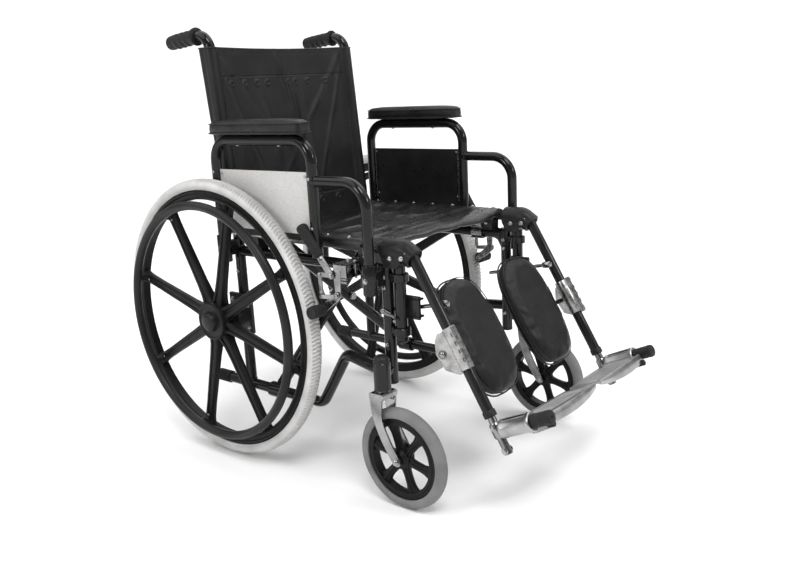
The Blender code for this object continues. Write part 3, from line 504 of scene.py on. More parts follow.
def groove(start, radius, depth, first, last, end):
    """Profile points of one groove round a bar, at distances from its start; a depth below 0 is a rib."""
    return [(start, radius), (start + first, radius - depth), (start + last, radius - depth),
            (start + end, radius)]


def above_and_below(half):
    """The lower half of a section, (across, up) from -1 to 1, closed by its mirror image."""
    return half + [(across, -up) for across, up in reversed(half)]


def both_sides(profile):
    """A profile of (across, radius), with its mirror image before it."""
    return [(-across, radius) for across, radius in reversed(profile)] + profile


def block(low, high):
    """An upright box between two corners."""
    (x0, y0, z0), (x1, y1, z1) = low, high
    return loft([[(x0, y0, z), (x1, y0, z), (x1, y1, z), (x0, y1, z)] for z in (z0, z1)])


def slab(outline, thickness, place):
    """A flat outline (u, v) with a thickness from w = 0; place puts (u, v, w) in the frame."""
    return loft([[place(u, v, w) for u, v in outline] for w in (0, thickness)])


def plate_x(outline, low, high):
    """A plate of a (y, z) outline between two x positions."""
    return slab(outline, high - low, lambda u, v, w: (low + w, u, v))


def capsule(start, end, radius, end_radius=None, steps=10):
    """Outline of a flat bar with round ends."""
    end_radius = radius if end_radius is None else end_radius
    heading = math.atan2(end[1] - start[1], end[0] - start[0])
    points = []
    for centre, r, base in ((start, radius, heading + pi / 2), (end, end_radius, heading - pi / 2)):
        for k in range(steps + 1):
            angle = base + pi * k / steps
            points.append((centre[0] + r * cos(angle), centre[1] + r * sin(angle)))
    return points


def dome(place, axis, radius, height, steps=20):
    """A low domed head, such as a screw's or rivet's."""
    profile = [(-0.001, 0.0), (-0.001, radius), (height * 0.25, radius)]
    for k in range(1, 5):
        angle = pi / 2 * k / 5
        profile.append((height * (0.25 + 0.75 * sin(angle)), radius * cos(angle)))
    profile.append((height, 0.0))
    return turned(profile, place, axis, steps)


def washer(place, axis, radius, low, high, crown=0.0, steps=32):
    """A disc from low to high along its axis, with its middle raised by crown."""
    return turned([(low, 0.0), (low, radius), (high, radius), (high + crown, 0.0)], place, axis, steps)


def hex_head(place, axis, radius, height):
    """A hexagon head on its washer."""
    under = washer(place, axis, radius * 1.35, 0, 0.0008, 0.0, 24)
    head = turned([(0, 0.0), (0, radius), (height * 0.8, radius), (height, radius * 0.8), (height, 0.0)],
                  place, axis, 6)
    return joined(under, head)


# ------------------------------------------------------------------ pieces


def surface(name, shape):
    """A new object with the shape's faces turned outwards."""
    points, faces = shape
    mesh = bpy.data.meshes.new(name)
    mesh.from_pydata([tuple(p) for p in points], [], faces)
    work = bmesh.new()
    work.from_mesh(mesh)
    bmesh.ops.recalc_face_normals(work, faces=work.faces)
    work.to_mesh(mesh)
    work.free()
    made = bpy.data.objects.new(name, mesh)
    bpy.context.scene.collection.objects.link(made)
    return made


def piece(name, shape, look, body, replaces=(), slot=None, bevel=0.0, smooth=35, thickness=0.0):
    """A named piece that rides on a CAD body, with its edges smoothed below the angle given."""
    made = surface(name, shape)
    made.data.materials.append(look)
    made.data.shade_smooth()
    made.data.set_sharp_from_angle(angle=radians(smooth))
    if thickness:
        solid = made.modifiers.new("thickness", "SOLIDIFY")
        solid.thickness = thickness
        solid.offset = 0
    if bevel:
        rounding = made.modifiers.new("edges", "BEVEL")
        rounding.width = bevel
        rounding.segments = 2
        rounding.limit_method = "ANGLE"
        rounding.angle_limit = radians(40)
        rounding.harden_normals = True
    if body:
        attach(made, body)
    if replaces:
        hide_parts(*replaces)
    return made


def subdivided(made):
    """The piece, smoothed by one subdivision."""
    finer = made.modifiers.new("finer", "SUBSURF")
    finer.levels = finer.render_levels = 1


def pair(name, shape, look, body, replaces=(), **options):
    """A left piece, and its mirror image on the right."""
    made = []
    for side, sign in SIDES:
        mirrored = [Vector((sign * p[0], p[1], p[2])) for p in shape[0]], shape[1]
        made.append(piece(f"{side}_{name}", mirrored, look, f"{side}_{body}",
                          [f"{side}_{node}" for node in replaces], **options))
    return made


def repaint(node, look):
    """A CAD node that is shown as it is, in a better material."""
    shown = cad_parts[node]
    shown.data.materials.clear()
    shown.data.materials.append(look)


# ------------------------------------------------------------------ side frames


def cane_y(z):
    """Middle line of the leaning back cane."""
    base = UPPER_Z + 0.02
    return UPRIGHT_Y + (CANE_TOP_Y - UPRIGHT_Y) * (z - base) / (HANDLE_Z - base)


def side_frame():
    """Welded tubes of the side frame, with their sockets and hinge collars."""
    x = SIDE_X
    cane = rounded_path([(x, UPRIGHT_Y, LOWER_Z), (x, UPRIGHT_Y, UPPER_Z + 0.02),
                         (x, CANE_TOP_Y, HANDLE_Z), (x, HANDLE_END_Y - 0.006, HANDLE_Z - 0.011)], 0.034, 14)
    lower = rounded_path([(x, AXLE_Y + 0.106, LOWER_Z), (x, AXLE_Y - 0.232, LOWER_Z),
                          (x + 0.016, AXLE_Y - 0.325, 0.266), (CASTER_X, STEM_Y, 0.266)], 0.035, 14)
    tubes = [
        tube(cane, TUBE_R), tube(lower, TUBE_R),
        rod((x, UPRIGHT_Y, UPPER_Z), (x, FRONT_Y, UPPER_Z), TUBE_R - 0.0004),
        rod((x, FRONT_Y, 0.224), (x, FRONT_Y, UPPER_Z + 0.008), TUBE_R),
        rod((x, FRONT_Y + 0.001, 0.250), (CASTER_X, STEM_Y + 0.002, 0.250), 0.009),
    ]
    # weld beads where tubes meet
    for place, axis, radius in (((x, UPRIGHT_Y - 0.0105, UPPER_Z), ALONG_Y, TUBE_R),
                                ((x, FRONT_Y + 0.0105, UPPER_Z), ALONG_Y, TUBE_R),
                                ((x, UPRIGHT_Y, LOWER_Z + 0.0105), ALONG_Z, TUBE_R),
                                ((x + 0.0095, FRONT_Y, 0.250), ALONG_X, 0.009)):
        tubes.append(turned([(-0.0018, radius), (0, radius + 0.0014), (0.0018, radius), (0, radius - 0.001)],
                            place, axis))
    for socket_y, low, high in SOCKETS:
        wall = [(low, 0.0122), (low, 0.0140), (low + 0.001, 0.0147), (high - 0.001, 0.0147),
                (high, 0.0140), (high, 0.0122)]
        tubes.append(turned(wall, (ARM_X, socket_y, 0), ALONG_Z))
    for low in COLLARS:
        wall = [(low, 0.0126), (low, 0.0162), (low + 0.001, 0.0170), (low + 0.014, 0.0170),
                (low + 0.015, 0.0162), (low + 0.015, 0.0126)]
        tubes.append(turned(wall, (x, HANGER_Y, 0), ALONG_Z))
    pair("frame_tubes", joined(*tubes), PAINT, "frame", ["side_frame"])


def side_plates():
    """Axle plate, ties of the sockets and collars, corner web and saddles of the seat rails."""
    x = SIDE_X
    plates = [block((x + 0.006, AXLE_Y - 0.040, 0.262), (x + 0.0145, AXLE_Y + 0.030, 0.350))]
    for socket_y, low, high in ((ARM_REAR_Y, 0.440, 0.472), (ARM_FRONT_Y, 0.416, 0.447)):
        plates.append(block((x + 0.004, socket_y - 0.008, low), (ARM_X - 0.011, socket_y + 0.007, high)))
    for low in COLLARS:
        plates.append(block((x - 0.006, HANGER_Y + 0.006, low + 0.001),
                            (x + 0.006, FRONT_Y - 0.006, low + 0.014)))
    # web between the front upright and the upper rail
    web = [(FRONT_Y + 0.006, UPPER_Z - 0.006), (FRONT_Y + 0.046, UPPER_Z - 0.006),
           (FRONT_Y + 0.022, UPPER_Z - 0.016), (FRONT_Y + 0.008, UPPER_Z - 0.042)]
    plates.append(plate_x(web, x - 0.0015, x + 0.0015))
    # saddles that the seat rails drop into
    for saddle_y in SADDLES:
        cup = [(-0.0135, 0.452), (0.0135, 0.452), (0.0150, 0.476), (0.0150, 0.486), (0.0122, 0.486)]
        cup += [(0.0122 * cos(a), 0.4865 - 0.0122 * sin(a)) for a in (radians(20 * k) for k in range(1, 9))]
        cup += [(-0.0122, 0.486), (-0.0150, 0.486), (-0.0150, 0.476)]
        plates.append(slab(cup, 0.030, lambda u, v, w, base=saddle_y: (x + u, base - 0.015 + w, v)))
    pair("frame_brackets", joined(*plates), PAINT_SATIN, "frame", bevel=0.0012)


def side_fittings():
    """Caster housing, plugs, rubber tip of the tipping lever, and the bolts that show."""
    x = SIDE_X
    centre = (CASTER_X, STEM_Y, 0)
    housing = turned([(HOUSING_LOW, 0.0080), (HOUSING_LOW, 0.0150), (HOUSING_LOW + 0.0012, 0.0162),
                      (HOUSING_TOP - 0.012, 0.0162), (HOUSING_TOP - 0.011, 0.0154),
                      (HOUSING_TOP - 0.011, 0.0080)], centre, ALONG_Z)
    pair("caster_housing", housing, PAINT, "frame")
    lid = [(HOUSING_TOP - 0.0115, 0.0), (HOUSING_TOP - 0.0115, 0.0150), (HOUSING_TOP - 0.008, 0.0152)]
    for k in range(1, 6):
        angle = pi / 2 * k / 6
        lid.append((HOUSING_TOP - 0.008 + 0.011 * sin(angle), 0.0152 * cos(angle) ** 0.8))
    lid.append((HOUSING_TOP + 0.0032, 0.0))
    plugs = [turned(lid, centre, ALONG_Z)]
    # plug in the foot of the front upright
    plugs.append(turned([(0.2205, 0.0), (0.2205, 0.0098), (0.222, 0.0114), (0.2245, 0.0119),
                         (0.2250, 0.0119), (0.2250, 0.0)], (x, FRONT_Y, 0), ALONG_Z))
    pair("frame_plugs", joined(*plugs), CAP_BLACK, "frame", slot="frame_black")
    collar = turned([(HOUSING_LOW - 0.0006, 0.0080), (HOUSING_LOW - 0.0006, 0.0150),
                     (HOUSING_LOW + 0.0022, 0.0168), (HOUSING_LOW + 0.0030, 0.0150),
                     (HOUSING_LOW + 0.0030, 0.0080)], centre, ALONG_Z)

    # tipping lever: a ribbed tip over the rear end of the lower rail
    profile = [(0.066, TUBE_R - 0.001), (0.066, 0.0132), (0.068, 0.0140)]
    for k in range(5):
        profile += groove(0.072 + 0.006 * k, 0.0140, 0.0008, 0.001, 0.002, 0.003)
    profile += [(0.108, 0.0140), (0.111, 0.0120), (0.1115, TUBE_R - 0.001)]
    tip = turned(profile, (x, AXLE_Y, LOWER_Z), ALONG_Y)
    end = turned([(0.1085, 0.0), (0.1085, 0.0115), (0.1112, 0.0112), (0.1116, 0.0)],
                 (x, AXLE_Y, LOWER_Z), ALONG_Y)
    pair("tipping_tip", joined(tip, end), RUBBER_BLACK, "frame")

    outside = x + TUBE_R - 0.0006
    bolts = [collar]
    for y, z in ((AXLE_Y - 0.031, 0.326), (AXLE_Y + 0.018, 0.336), (AXLE_Y + 0.018, 0.276),
                 (AXLE_Y - 0.030, 0.276)):
        bolts.append(dome((x + 0.0143, y, z), ALONG_X, 0.0052, 0.0036))
    for y, z in ((FRONT_Y, 0.432), (FRONT_Y, 0.412), (FRONT_Y, 0.300), (FRONT_Y, 0.262),
                 (UPRIGHT_Y, 0.480), (UPRIGHT_Y, 0.400)):
        bolts.append(dome((outside, y, z), ALONG_X, 0.0042, 0.0032))
        bolts.append(dome((2 * x - outside, y, z), -ALONG_X, 0.0042, 0.0032))
    for socket_y, z in ((ARM_REAR_Y, 0.456), (ARM_FRONT_Y, 0.432)):
        bolts.append(hex_head((ARM_X + 0.0140, socket_y, z), ALONG_X, 0.0038, 0.0036))
    for saddle_y in SADDLES:
        bolts.append(dome((x + 0.0146, saddle_y, 0.468), ALONG_X, 0.0040, 0.0026))
        bolts.append(dome((x - 0.0146, saddle_y, 0.468), -ALONG_X, 0.0040, 0.0026))
    pair("frame_bolts", joined(*bolts), ZINC, "frame")


def grip_radius(angle, share):
    """Radius round the grip and along it: four finger grooves below, fine ribs on its flanks."""
    down = max(0.0, -sin(angle))
    wave = 0.5 - 0.5 * cos(2 * pi * 4 * min(max(share, 0.0), 1.0))
    finger = 0.0030 * wave * (0.25 + 0.75 * down ** 0.7)
    ribs = 0.00035 * math.copysign(1, sin(angle * 18)) * (0.3 < abs(cos(angle)))
    return 0.0162 - finger - 0.0014 * smooth_step((share - 0.9) * 8) + ribs


def push_grip():
    """Grip with a ring flange in front and a rounded end."""
    start = Vector((SIDE_X, AXLE_Y + 0.068, HANDLE_Z - 0.0033))
    end = Vector((SIDE_X, HANDLE_END_Y, HANDLE_Z - 0.0117))
    along = (end - start).normalized()
    length = (end - start).length
    upward = ALONG_X.cross(along).normalized()
    if upward.z < 0:
        upward = -upward
    stations = [(0.0, 0.0120), (0.0002, 0.0180), (0.0012, 0.0188), (0.0052, 0.0188), (0.0064, 0.0178),
                (0.0076, 0.0156)]
    body = 60
    for k in range(1, body):
        stations.append((0.008 + (length - 0.012) * k / body, None))
    stations += [(length - 0.0030, 0.0140), (length - 0.0012, 0.0122), (length - 0.0002, 0.0095),
                 (length, 0.0060)]
    rings = []
    for distance, radius in stations:
        ring = []
        for k in range(36):
            angle = 2 * pi * k / 36
            reach = radius
            if radius is None:
                reach = grip_radius(angle, (distance - 0.012) / (length - 0.026))
            ring.append(start + along * distance + ALONG_X * reach * cos(angle) + upward * reach * sin(angle))
        rings.append(ring)
    pair("hand_grip", loft(rings), GRIP_BLACK, "frame", ["push_grip"], smooth=50)


# ------------------------------------------------------------------ rear wheels


def wheel_ring(profile, steps):
    """A profile turned about the rear wheel's axle."""
    return turned(profile, (WHEEL_X, AXLE_Y, WHEEL_R), ALONG_X, steps)


def rear_tyre():
    """Solid tyre: smooth walls, and a tread of small slanted lugs."""
    half = TYRE_W / 2
    lugs, per_lug = 236, 4
    steps = lugs * per_lug
    # (across, above the rim, depth of the cut between lugs, slant of the cut)
    section = [(-0.0108, 0.0, 0, 0), (-0.0135, 0.0035, 0, 0), (-half, 0.0085, 0, 0),
               (-half + 0.0004, 0.0120, 0, 0), (-half + 0.0014, 0.0152, 0, 0),
               (-half + 0.0026, 0.0172, 0.0010, 0), (-half + 0.0044, 0.0196, 0.0036, 0),
               (-half + 0.0076, 0.0217, 0.0038, 1), (-0.0030, 0.0226, 0.0030, 2)]
    section += [(-across, up, cut, slant) for across, up, cut, slant in reversed(section)]
    points, faces = [], []
    count = len(section)
    for k in range(steps):
        angle = 2 * pi * k / steps
        for across, up, cut, slant in section:
            in_cut = (k + slant) % per_lug < 2
            radius = RIM_R + 0.0003 + up - (cut if in_cut else 0.0)
            points.append(Vector((WHEEL_X + across, AXLE_Y + radius * cos(angle),
                                  WHEEL_R + radius * sin(angle))))
    for k in range(steps):
        low, high = k * count, (k + 1) % steps * count
        for j in range(count):
            i = (j + 1) % count
            faces.append((low + j, low + i, high + i, high + j))
    pair("tyre_tread", (points, faces), TYRE_PALE, "wheel", ["rear_tyre"], smooth=42)


def spoke_directions(k):
    """Outwards along a spoke, and across it."""
    angle = SPOKE_PHASE + 2 * pi * k / SPOKES
    return Vector((0, cos(angle), sin(angle))), Vector((0, -sin(angle), cos(angle)))


def rear_wheel():
    """Moulded wheel: grooved rim, ribbed spokes with rounded roots, hub with its webs."""
    half = RIM_W / 2
    inner = RIM_R - RIM_DEPTH
    section = both_sides([(half - 0.003, RIM_R), (half, RIM_R - 0.003), (half, RIM_R - 0.0065),
                          (half - 0.0028, RIM_R - 0.0085), (half - 0.0028, inner + 0.0050),
                          (half - 0.0010, inner + 0.0030), (half - 0.0022, inner)])
    shapes = [wheel_ring(section, 144)]
    hub = [(-0.036, 0.0), (-0.036, 0.0232), (-0.0345, 0.0245), (-0.014, 0.030), (-0.010, HUB_R - 0.002),
           (-0.008, HUB_R), (0.0205, HUB_R), (0.0225, HUB_R - 0.0008), (0.0238, HUB_R - 0.0030),
           (0.0236, HUB_R - 0.0060), (0.0222, HUB_R - 0.0080), (0.0222, 0.0235), (0.0236, 0.0225),
           (0.0236, 0.0)]
    shapes.append(wheel_ring(hub, 64))
    middle = Vector((WHEEL_X, AXLE_Y, WHEEL_R))
    profile = above_and_below([(-1.0, -0.55), (-0.86, -0.86), (-0.62, -1.0), (-0.36, -1.0),
                               (-0.26, -0.74), (0.26, -0.74), (0.36, -1.0), (0.62, -1.0), (0.86, -0.86),
                               (1.0, -0.55)])
    stations = [(0.030, 0.0150, 0.0185), (0.046, 0.0138, 0.0135), (0.062, 0.0130, 0.0105),
                (0.090, 0.0122, 0.0090)]
    stations += [(inner - 0.055, 0.0105, SPOKE_HALF), (inner - 0.030, 0.0108, SPOKE_HALF)]
    for k in range(1, 8):
        t = k / 7
        stations.append((inner - 0.026 + 0.032 * t, 0.0110 + 0.0125 * (1 - math.sqrt(max(0.0, 1 - t ** 2.4))),
                         SPOKE_HALF))
    for k in range(SPOKES):
        outward, sideways = spoke_directions(k)
        rings = []
        for radius, wide, deep in stations:
            at = middle + outward * radius
            rings.append([at + sideways * wide * a + ALONG_X * deep * b for a, b in profile])
        shapes.append(loft(rings))
        # seat of the push rim's boss
        foot = middle + outward * HANDRIM_R
        shapes.append(rod(foot + ALONG_X * 0.004, foot + ALONG_X * (SPOKE_HALF + 0.0035), 0.0098, 20))
    pair("wheel_moulding", joined(*shapes), WHEEL_BLACK, "wheel", ["rear_wheel"])

    screws = []
    for k in range(SPOKES):
        outward = spoke_directions(k)[0]
        place = middle + outward * (inner - 0.018) + ALONG_X * (SPOKE_HALF + 0.0002)
        screws.append(dome(place, ALONG_X, 0.0034, 0.0022))
    pair("wheel_screws", joined(*screws), ZINC, "wheel")


def handrim():
    """Push rim on a boss and screw at each spoke."""
    centre = Vector((HANDRIM_X, AXLE_Y, WHEEL_R))
    section = [(u, HANDRIM_R + v) for u, v in circle(HANDRIM_TUBE_R, 18)]
    shapes = [turned(section, centre, ALONG_X, 128)]
    for k in range(SPOKES):
        outward, sideways = spoke_directions(k)
        near = centre + outward * HANDRIM_R
        rings = []
        for x, wide, long in ((WHEEL_X + SPOKE_HALF + 0.0036, 0.0085, 0.0085),
                              (WHEEL_X + SPOKE_HALF + 0.010, 0.0068, 0.0064),
                              (HANDRIM_X - 0.007, 0.0066, 0.0060), (HANDRIM_X - 0.003, 0.0078, 0.0075)):
            at = Vector((x, near.y, near.z))
            rings.append([at + sideways * wide * u + outward * long * v for u, v in circle(1.0, 16)])
        shapes.append(loft(rings))
    pair("handrim_ring", joined(*shapes), CAP_BLACK, "wheel", ["handrim"])


def hub_cap():
    """Domed cap in the middle of the wheel."""
    low = WHEEL_X + 0.0235
    profile = [(low, 0.0), (low, 0.0215), (low + 0.0040, 0.0212), (low + 0.0062, 0.0200)]
    for k in range(1, 7):
        angle = pi / 2 * k / 7
        profile.append((low + 0.0062 + 0.0058 * sin(angle), 0.0200 * cos(angle)))
    profile.append((low + 0.0120, 0.0))
    pair("hub_dome", turned(profile, (0, AXLE_Y, WHEEL_R), ALONG_X, 48), CAP_BLACK, "wheel", ["hub_cap"])


# ------------------------------------------------------------------ casters


def caster_fork():
    """Swivel fork pressed from flat bar, with its stem, axle and bolts."""
    inside = CASTER_W / 2 + 0.0055
    leg = 0.004
    reach = inside + leg
    within = reach - 0.0004
    # each leg drops from the crown and sweeps back to the axle, narrowing as it goes
    front, rear = [], []
    top = (STEM_Y + 0.001, 0.2240)
    bend = (STEM_Y + 0.0005, 0.186)
    end = (CASTER_AXLE_Y, CASTER_R)
    steps = 14
    for k in range(steps + 1):
        t = k / steps
        if t < 0.3:
            share = t / 0.3
            y = top[0] + (bend[0] - top[0]) * share
            z = top[1] + (bend[1] - top[1]) * share
            lean = 0.0
        else:
            share = (t - 0.3) / 0.7
            y = bend[0] + (end[0] - bend[0]) * (share ** 1.45)
            z = bend[1] + (end[1] - bend[1]) * share
            lean = -0.5 * share ** 0.5
        wide = 0.0152 - 0.0042 * smooth_step(t * 2.2) - 0.0008 * t
        front.append((y - wide * cos(lean), z - wide * sin(lean)))
        rear.append((y + wide * cos(lean), z + wide * sin(lean)))
    tip = []
    for k in range(8):
        angle = radians(-20 - 20 * k)
        tip.append((end[0] + 0.0100 * cos(angle), end[1] + 0.0100 * sin(angle)))
    outline = front[:-1] + list(reversed(tip)) + list(reversed(rear[:-1]))
    shapes = [plate_x(outline, low, low + leg) for low in (CASTER_X - reach, CASTER_X + inside)]
    crown = [(-0.0165, 0.2145), (0.0165, 0.2145), (0.0170, 0.2240), (0.0150, 0.2258), (-0.0150, 0.2258),
             (-0.0170, 0.2240)]
    shapes.append(slab(crown, 2 * within, lambda u, v, w: (CASTER_X - within + w, STEM_Y + u, v)))
    # gussets folded under the crown
    for sign in (-1, 1):
        gusset = [(sign * (inside + 0.001), 0.2150), (sign * (inside + 0.001), 0.2030),
                  (sign * (inside - 0.010), 0.2150)]
        shapes.append(slab(gusset, 0.020, lambda u, v, w: (CASTER_X + u, STEM_Y - 0.010 + w, v)))
    pair("fork_plate", joined(*shapes), CHROME, "caster_fork", ["caster_fork"], bevel=0.0014)
    bolts = [rod((CASTER_X, STEM_Y, 0.214), (CASTER_X, STEM_Y, 0.272), 0.0068),
             washer((CASTER_X, STEM_Y, 0), ALONG_Z, 0.0115, 0.2256, 0.2268),
             rod((CASTER_X - reach, CASTER_AXLE_Y, CASTER_R), (CASTER_X + reach, CASTER_AXLE_Y, CASTER_R),
                 0.0045)]
    for sign in (-1, 1):
        place = (CASTER_X + sign * (reach + 0.0002), CASTER_AXLE_Y, CASTER_R)
        bolts.append(washer(place, ALONG_X * sign, 0.0082, -0.0005, 0.0010, 0.0002))
        bolts.append(dome(place, ALONG_X * sign, 0.0066, 0.0064))
    pair("fork_bolts", joined(*bolts), ZINC, "caster_fork")


def caster_wheel():
    """Moulded caster wheel."""
    half = CASTER_W / 2 - 0.003
    centre = Vector((CASTER_X, CASTER_AXLE_Y, CASTER_R))
    inner = CASTER_RIM_R - 0.0135
    rim = both_sides([(half - 0.001, inner), (half, inner + 0.0012), (half, inner + 0.0060),
                      (half - 0.0016, inner + 0.0074), (half - 0.0016, CASTER_RIM_R - 0.002),
                      (half - 0.003, CASTER_RIM_R)])
    hub = both_sides([(half - 0.001, 0.0195), (half + 0.0005, 0.0160), (half + 0.0030, 0.0140),
                      (half + 0.0042, 0.0125), (half + 0.0042, 0.0)])
    shapes = [turned(rim, centre, ALONG_X, 96), turned(hub, centre, ALONG_X, 40)]
    profile = above_and_below([(-1.0, -0.35), (-0.80, -0.62), (-0.34, -0.72), (-0.20, -1.0), (0.20, -1.0),
                               (0.34, -0.72), (0.80, -0.62), (1.0, -0.35)])
    for k in range(CASTER_SPOKES):
        angle = 2 * pi * k / CASTER_SPOKES + radians(12)
        outward, sideways = Vector((0, cos(angle), sin(angle))), Vector((0, -sin(angle), cos(angle)))
        rings = []
        for step in range(13):
            t = step / 12
            radius = 0.012 + (inner + 0.003 - 0.012) * t
            root = max(0.0, 1 - t / 0.35)
            flare = max(0.0, (t - 0.55) / 0.45)
            wide = 0.0078 + 0.0050 * root ** 2 + 0.0155 * (1 - math.sqrt(max(0.0, 1 - flare ** 2)))
            rings.append([centre + outward * radius + sideways * wide * a + ALONG_X * (half - 0.0014) * b
                          for a, b in profile])
        shapes.append(loft(rings))
    pair("caster_moulding", joined(*shapes), WHEEL_BLACK, "caster_wheel", ["caster_wheel"])


def caster_tyre():
    """Solid round tyre with a fine mould line round its middle."""
    half = CASTER_W / 2
    low = CASTER_RIM_R + 0.0003
    section = both_sides([(0.0012, CASTER_R - 0.0008), (0.0018, CASTER_R - 0.0002),
                          (half - 0.0078, low + 0.0182), (half - 0.0036, low + 0.0152),
                          (half - 0.0010, low + 0.0110), (half, low + 0.0065),
                          (half - 0.0008, low + 0.0030), (half - 0.0030, low)])
    centre = (CASTER_X, CASTER_AXLE_Y, CASTER_R)
    pair("caster_rubber", turned(section, centre, ALONG_X, 112), TYRE_GREY, "caster_wheel", ["caster_tyre"])


# ------------------------------------------------------------------ arms


def arms():
    """Lift-off arm: hoop and front step, skirt panel with its lining, strips and screws."""
    x = ARM_X
    hoop = rounded_path([(x, ARM_REAR_Y, 0.434), (x, ARM_REAR_Y, ARM_TOP_Z), (x, ARM_MID_Y, ARM_TOP_Z),
                         (x, ARM_MID_Y, 0.463)], 0.045, 14)
    step = rounded_path([(x, ARM_MID_Y + 0.002, ARM_STEP_Z), (x, ARM_FRONT_Y, ARM_STEP_Z),
                         (x, ARM_FRONT_Y, 0.410)], 0.050, 14)
    weld = turned([(-0.002, RAIL_R - 0.001), (0, RAIL_R + 0.0015), (0.002, RAIL_R - 0.001),
                   (0, RAIL_R - 0.003)], (x, ARM_MID_Y - RAIL_R + 0.001, ARM_STEP_Z), ALONG_Y)
    pair("arm_tubes", joined(tube(hoop, RAIL_R), tube(step, RAIL_R - 0.0003), weld), PAINT, "arm",
         ["arm_frame"])

    clear = RAIL_R + 0.0008    # the panel stops just short of the posts
    low_y, high_y = ARM_MID_Y + clear, ARM_REAR_Y - clear
    pair("panel_outside", block((x + 0.0002, low_y, PANEL_LOW), (x + 0.0016, high_y, PANEL_HIGH)), PANEL,
         "arm", ["skirt_panel"], bevel=0.0004)
    pair("panel_lining", block((x - 0.0014, low_y + 0.0005, PANEL_LOW - 0.0150),
                               (x + 0.0001, high_y - 0.0005, PANEL_HIGH - 0.0005)),
         VINYL, "arm", bevel=0.0004)
    strips = []
    for y in (low_y, high_y - 0.0032):
        strips.append(block((x - 0.0022, y, PANEL_LOW), (x - 0.0010, y + 0.0032, PANEL_HIGH)))
    strips.append(block((x - 0.0022, low_y, PANEL_LOW - 0.0162), (x + 0.0004, high_y, PANEL_LOW - 0.0130)))
    for y in (low_y + 0.006, high_y - 0.006):
        for z in (PANEL_LOW + 0.008, PANEL_HIGH - 0.008):
            strips.append(dome((x + 0.0012, y, z), ALONG_X, 0.0034, 0.0024))
            strips.append(dome((x - 0.0012, y, z), -ALONG_X, 0.0030, 0.0020))
    for y in (ARM_MID_Y + 0.085, ARM_REAR_Y - 0.075):
        strips.append(dome((x, y, ARM_TOP_Z - RAIL_R + 0.0008), -ALONG_Z, 0.0040, 0.0026))
    for y, z in ((ARM_MID_Y, ARM_STEP_Z + 0.004), (ARM_MID_Y, 0.520), (ARM_REAR_Y, PANEL_HIGH - 0.006)):
        strips.append(dome((x + RAIL_R - 0.0006, y, z), ALONG_X, 0.0036, 0.0028))
    pair("arm_trim", joined(*strips), ZINC, "arm", bevel=0.0004)


def superellipse(count, power):
    """Points of a rounded oval, from -1 to 1 each way."""
    points = []
    for k in range(count):
        angle = 2 * pi * k / count
        c, s = cos(angle), sin(angle)
        points.append((math.copysign(abs(c) ** power, c), math.copysign(abs(s) ** power, s)))
    return points


def inflated(shape, voxel, swell, frames=20):
    """The shape as a stuffed cover: remeshed, blown up by a cloth simulation, and no point
    further than swell from where it was."""
    body = surface("stuffing", shape)
    remesh = body.modifiers.new("remesh", "REMESH")
    remesh.mode = "VOXEL"
    remesh.voxel_size = voxel
    graph = bpy.context.evaluated_depsgraph_get()
    fine = bpy.data.meshes.new_from_object(body.evaluated_get(graph))
    body.modifiers.clear()
    body.data = fine
    rest = [v.co.copy() for v in fine.vertices]
    places = rest
    cloth = body.modifiers.new("cloth", "CLOTH")
    cloth.settings.use_pressure = True
    cloth.settings.uniform_pressure_force = 4
    cloth.settings.effector_weights.gravity = 0
    scene = bpy.context.scene
    for number in range(1, frames + 1):
        scene.frame_set(number)
    graph = bpy.context.evaluated_depsgraph_get()
    blown = bpy.data.meshes.new_from_object(body.evaluated_get(graph))
    places = []
    for before, v in zip(rest, blown.vertices):
        shift = v.co - before
        if shift.length > swell:
            shift = shift.normalized() * swell
        places.append(before + shift)
    scene.frame_set(1)
    faces = [tuple(p.vertices) for p in fine.polygons]
    bpy.data.objects.remove(body)
    return places, faces


def padded_pair(name, shape, body, replaces, look):
    """A stuffed piece on each side, with one subdivision."""
    for pad in pair(name, shape, look, body, replaces, smooth=180):
        subdivided(pad)


def arm_pad():
    """Padded armrest: crowned top, soft front end with gathers, welt round its base."""
    half_w, height = 0.0245, PAD_THICK - 0.004
    base_z = ARM_TOP_Z + RAIL_R + 0.0003
    middle_y, half_y = (PAD_REAR_Y + PAD_FRONT_Y) / 2, (PAD_REAR_Y - PAD_FRONT_Y) / 2 - 0.002
    outline = [(u, math.copysign(abs(v) ** 0.8, v)) for u, v in superellipse(72, 0.42)]
    rings = []
    for level, shrink in ((0.0, 0.93), (0.10, 0.985), (0.30, 1.0), (0.60, 0.99), (0.80, 0.94),
                          (0.93, 0.84), (1.0, 0.66)):
        ends = 1 - (1 - shrink) * 0.22
        rings.append([(ARM_X + u * half_w * shrink, middle_y + v * half_y * ends, base_z + height * level)
                      for u, v in outline])
    shape = inflated(loft(rings), 0.005, 0.0028)
    lowest = base_z + 0.0002

    def settled(p):
        """Flat where it lies on the rail, with shallow gathers round the front end."""
        near_front = smooth_step((middle_y - half_y * 0.72 - p.y) / 0.03)
        gathers = 0.0007 * near_front * sin(p.x * 900 + p.z * 300)
        ripple = 0.0006 * lumps(p.x * 30, p.y * 16, p.z * 30)
        return p.x, p.y, max(p.z, lowest) + (gathers + ripple) * smooth_step((p.z - base_z) / 0.01)

    padded_pair("arm_cushion", moved(shape, settled), "arm", ["arm_pad"], VINYL)
    welt = [(ARM_X + u * (half_w + 0.0002), middle_y + v * (half_y + 0.0004), base_z + 0.0030)
            for u, v in outline]
    seam = [(ARM_X + u * (half_w - 0.0004), middle_y + v * (half_y - 0.0002), base_z + height * 0.80)
            for u, v in outline]
    pair("arm_welt", joined(tube(welt, 0.0016, 8, True), tube(seam, 0.0010, 6, True)), PIPING, "arm")


# ------------------------------------------------------------------ brakes


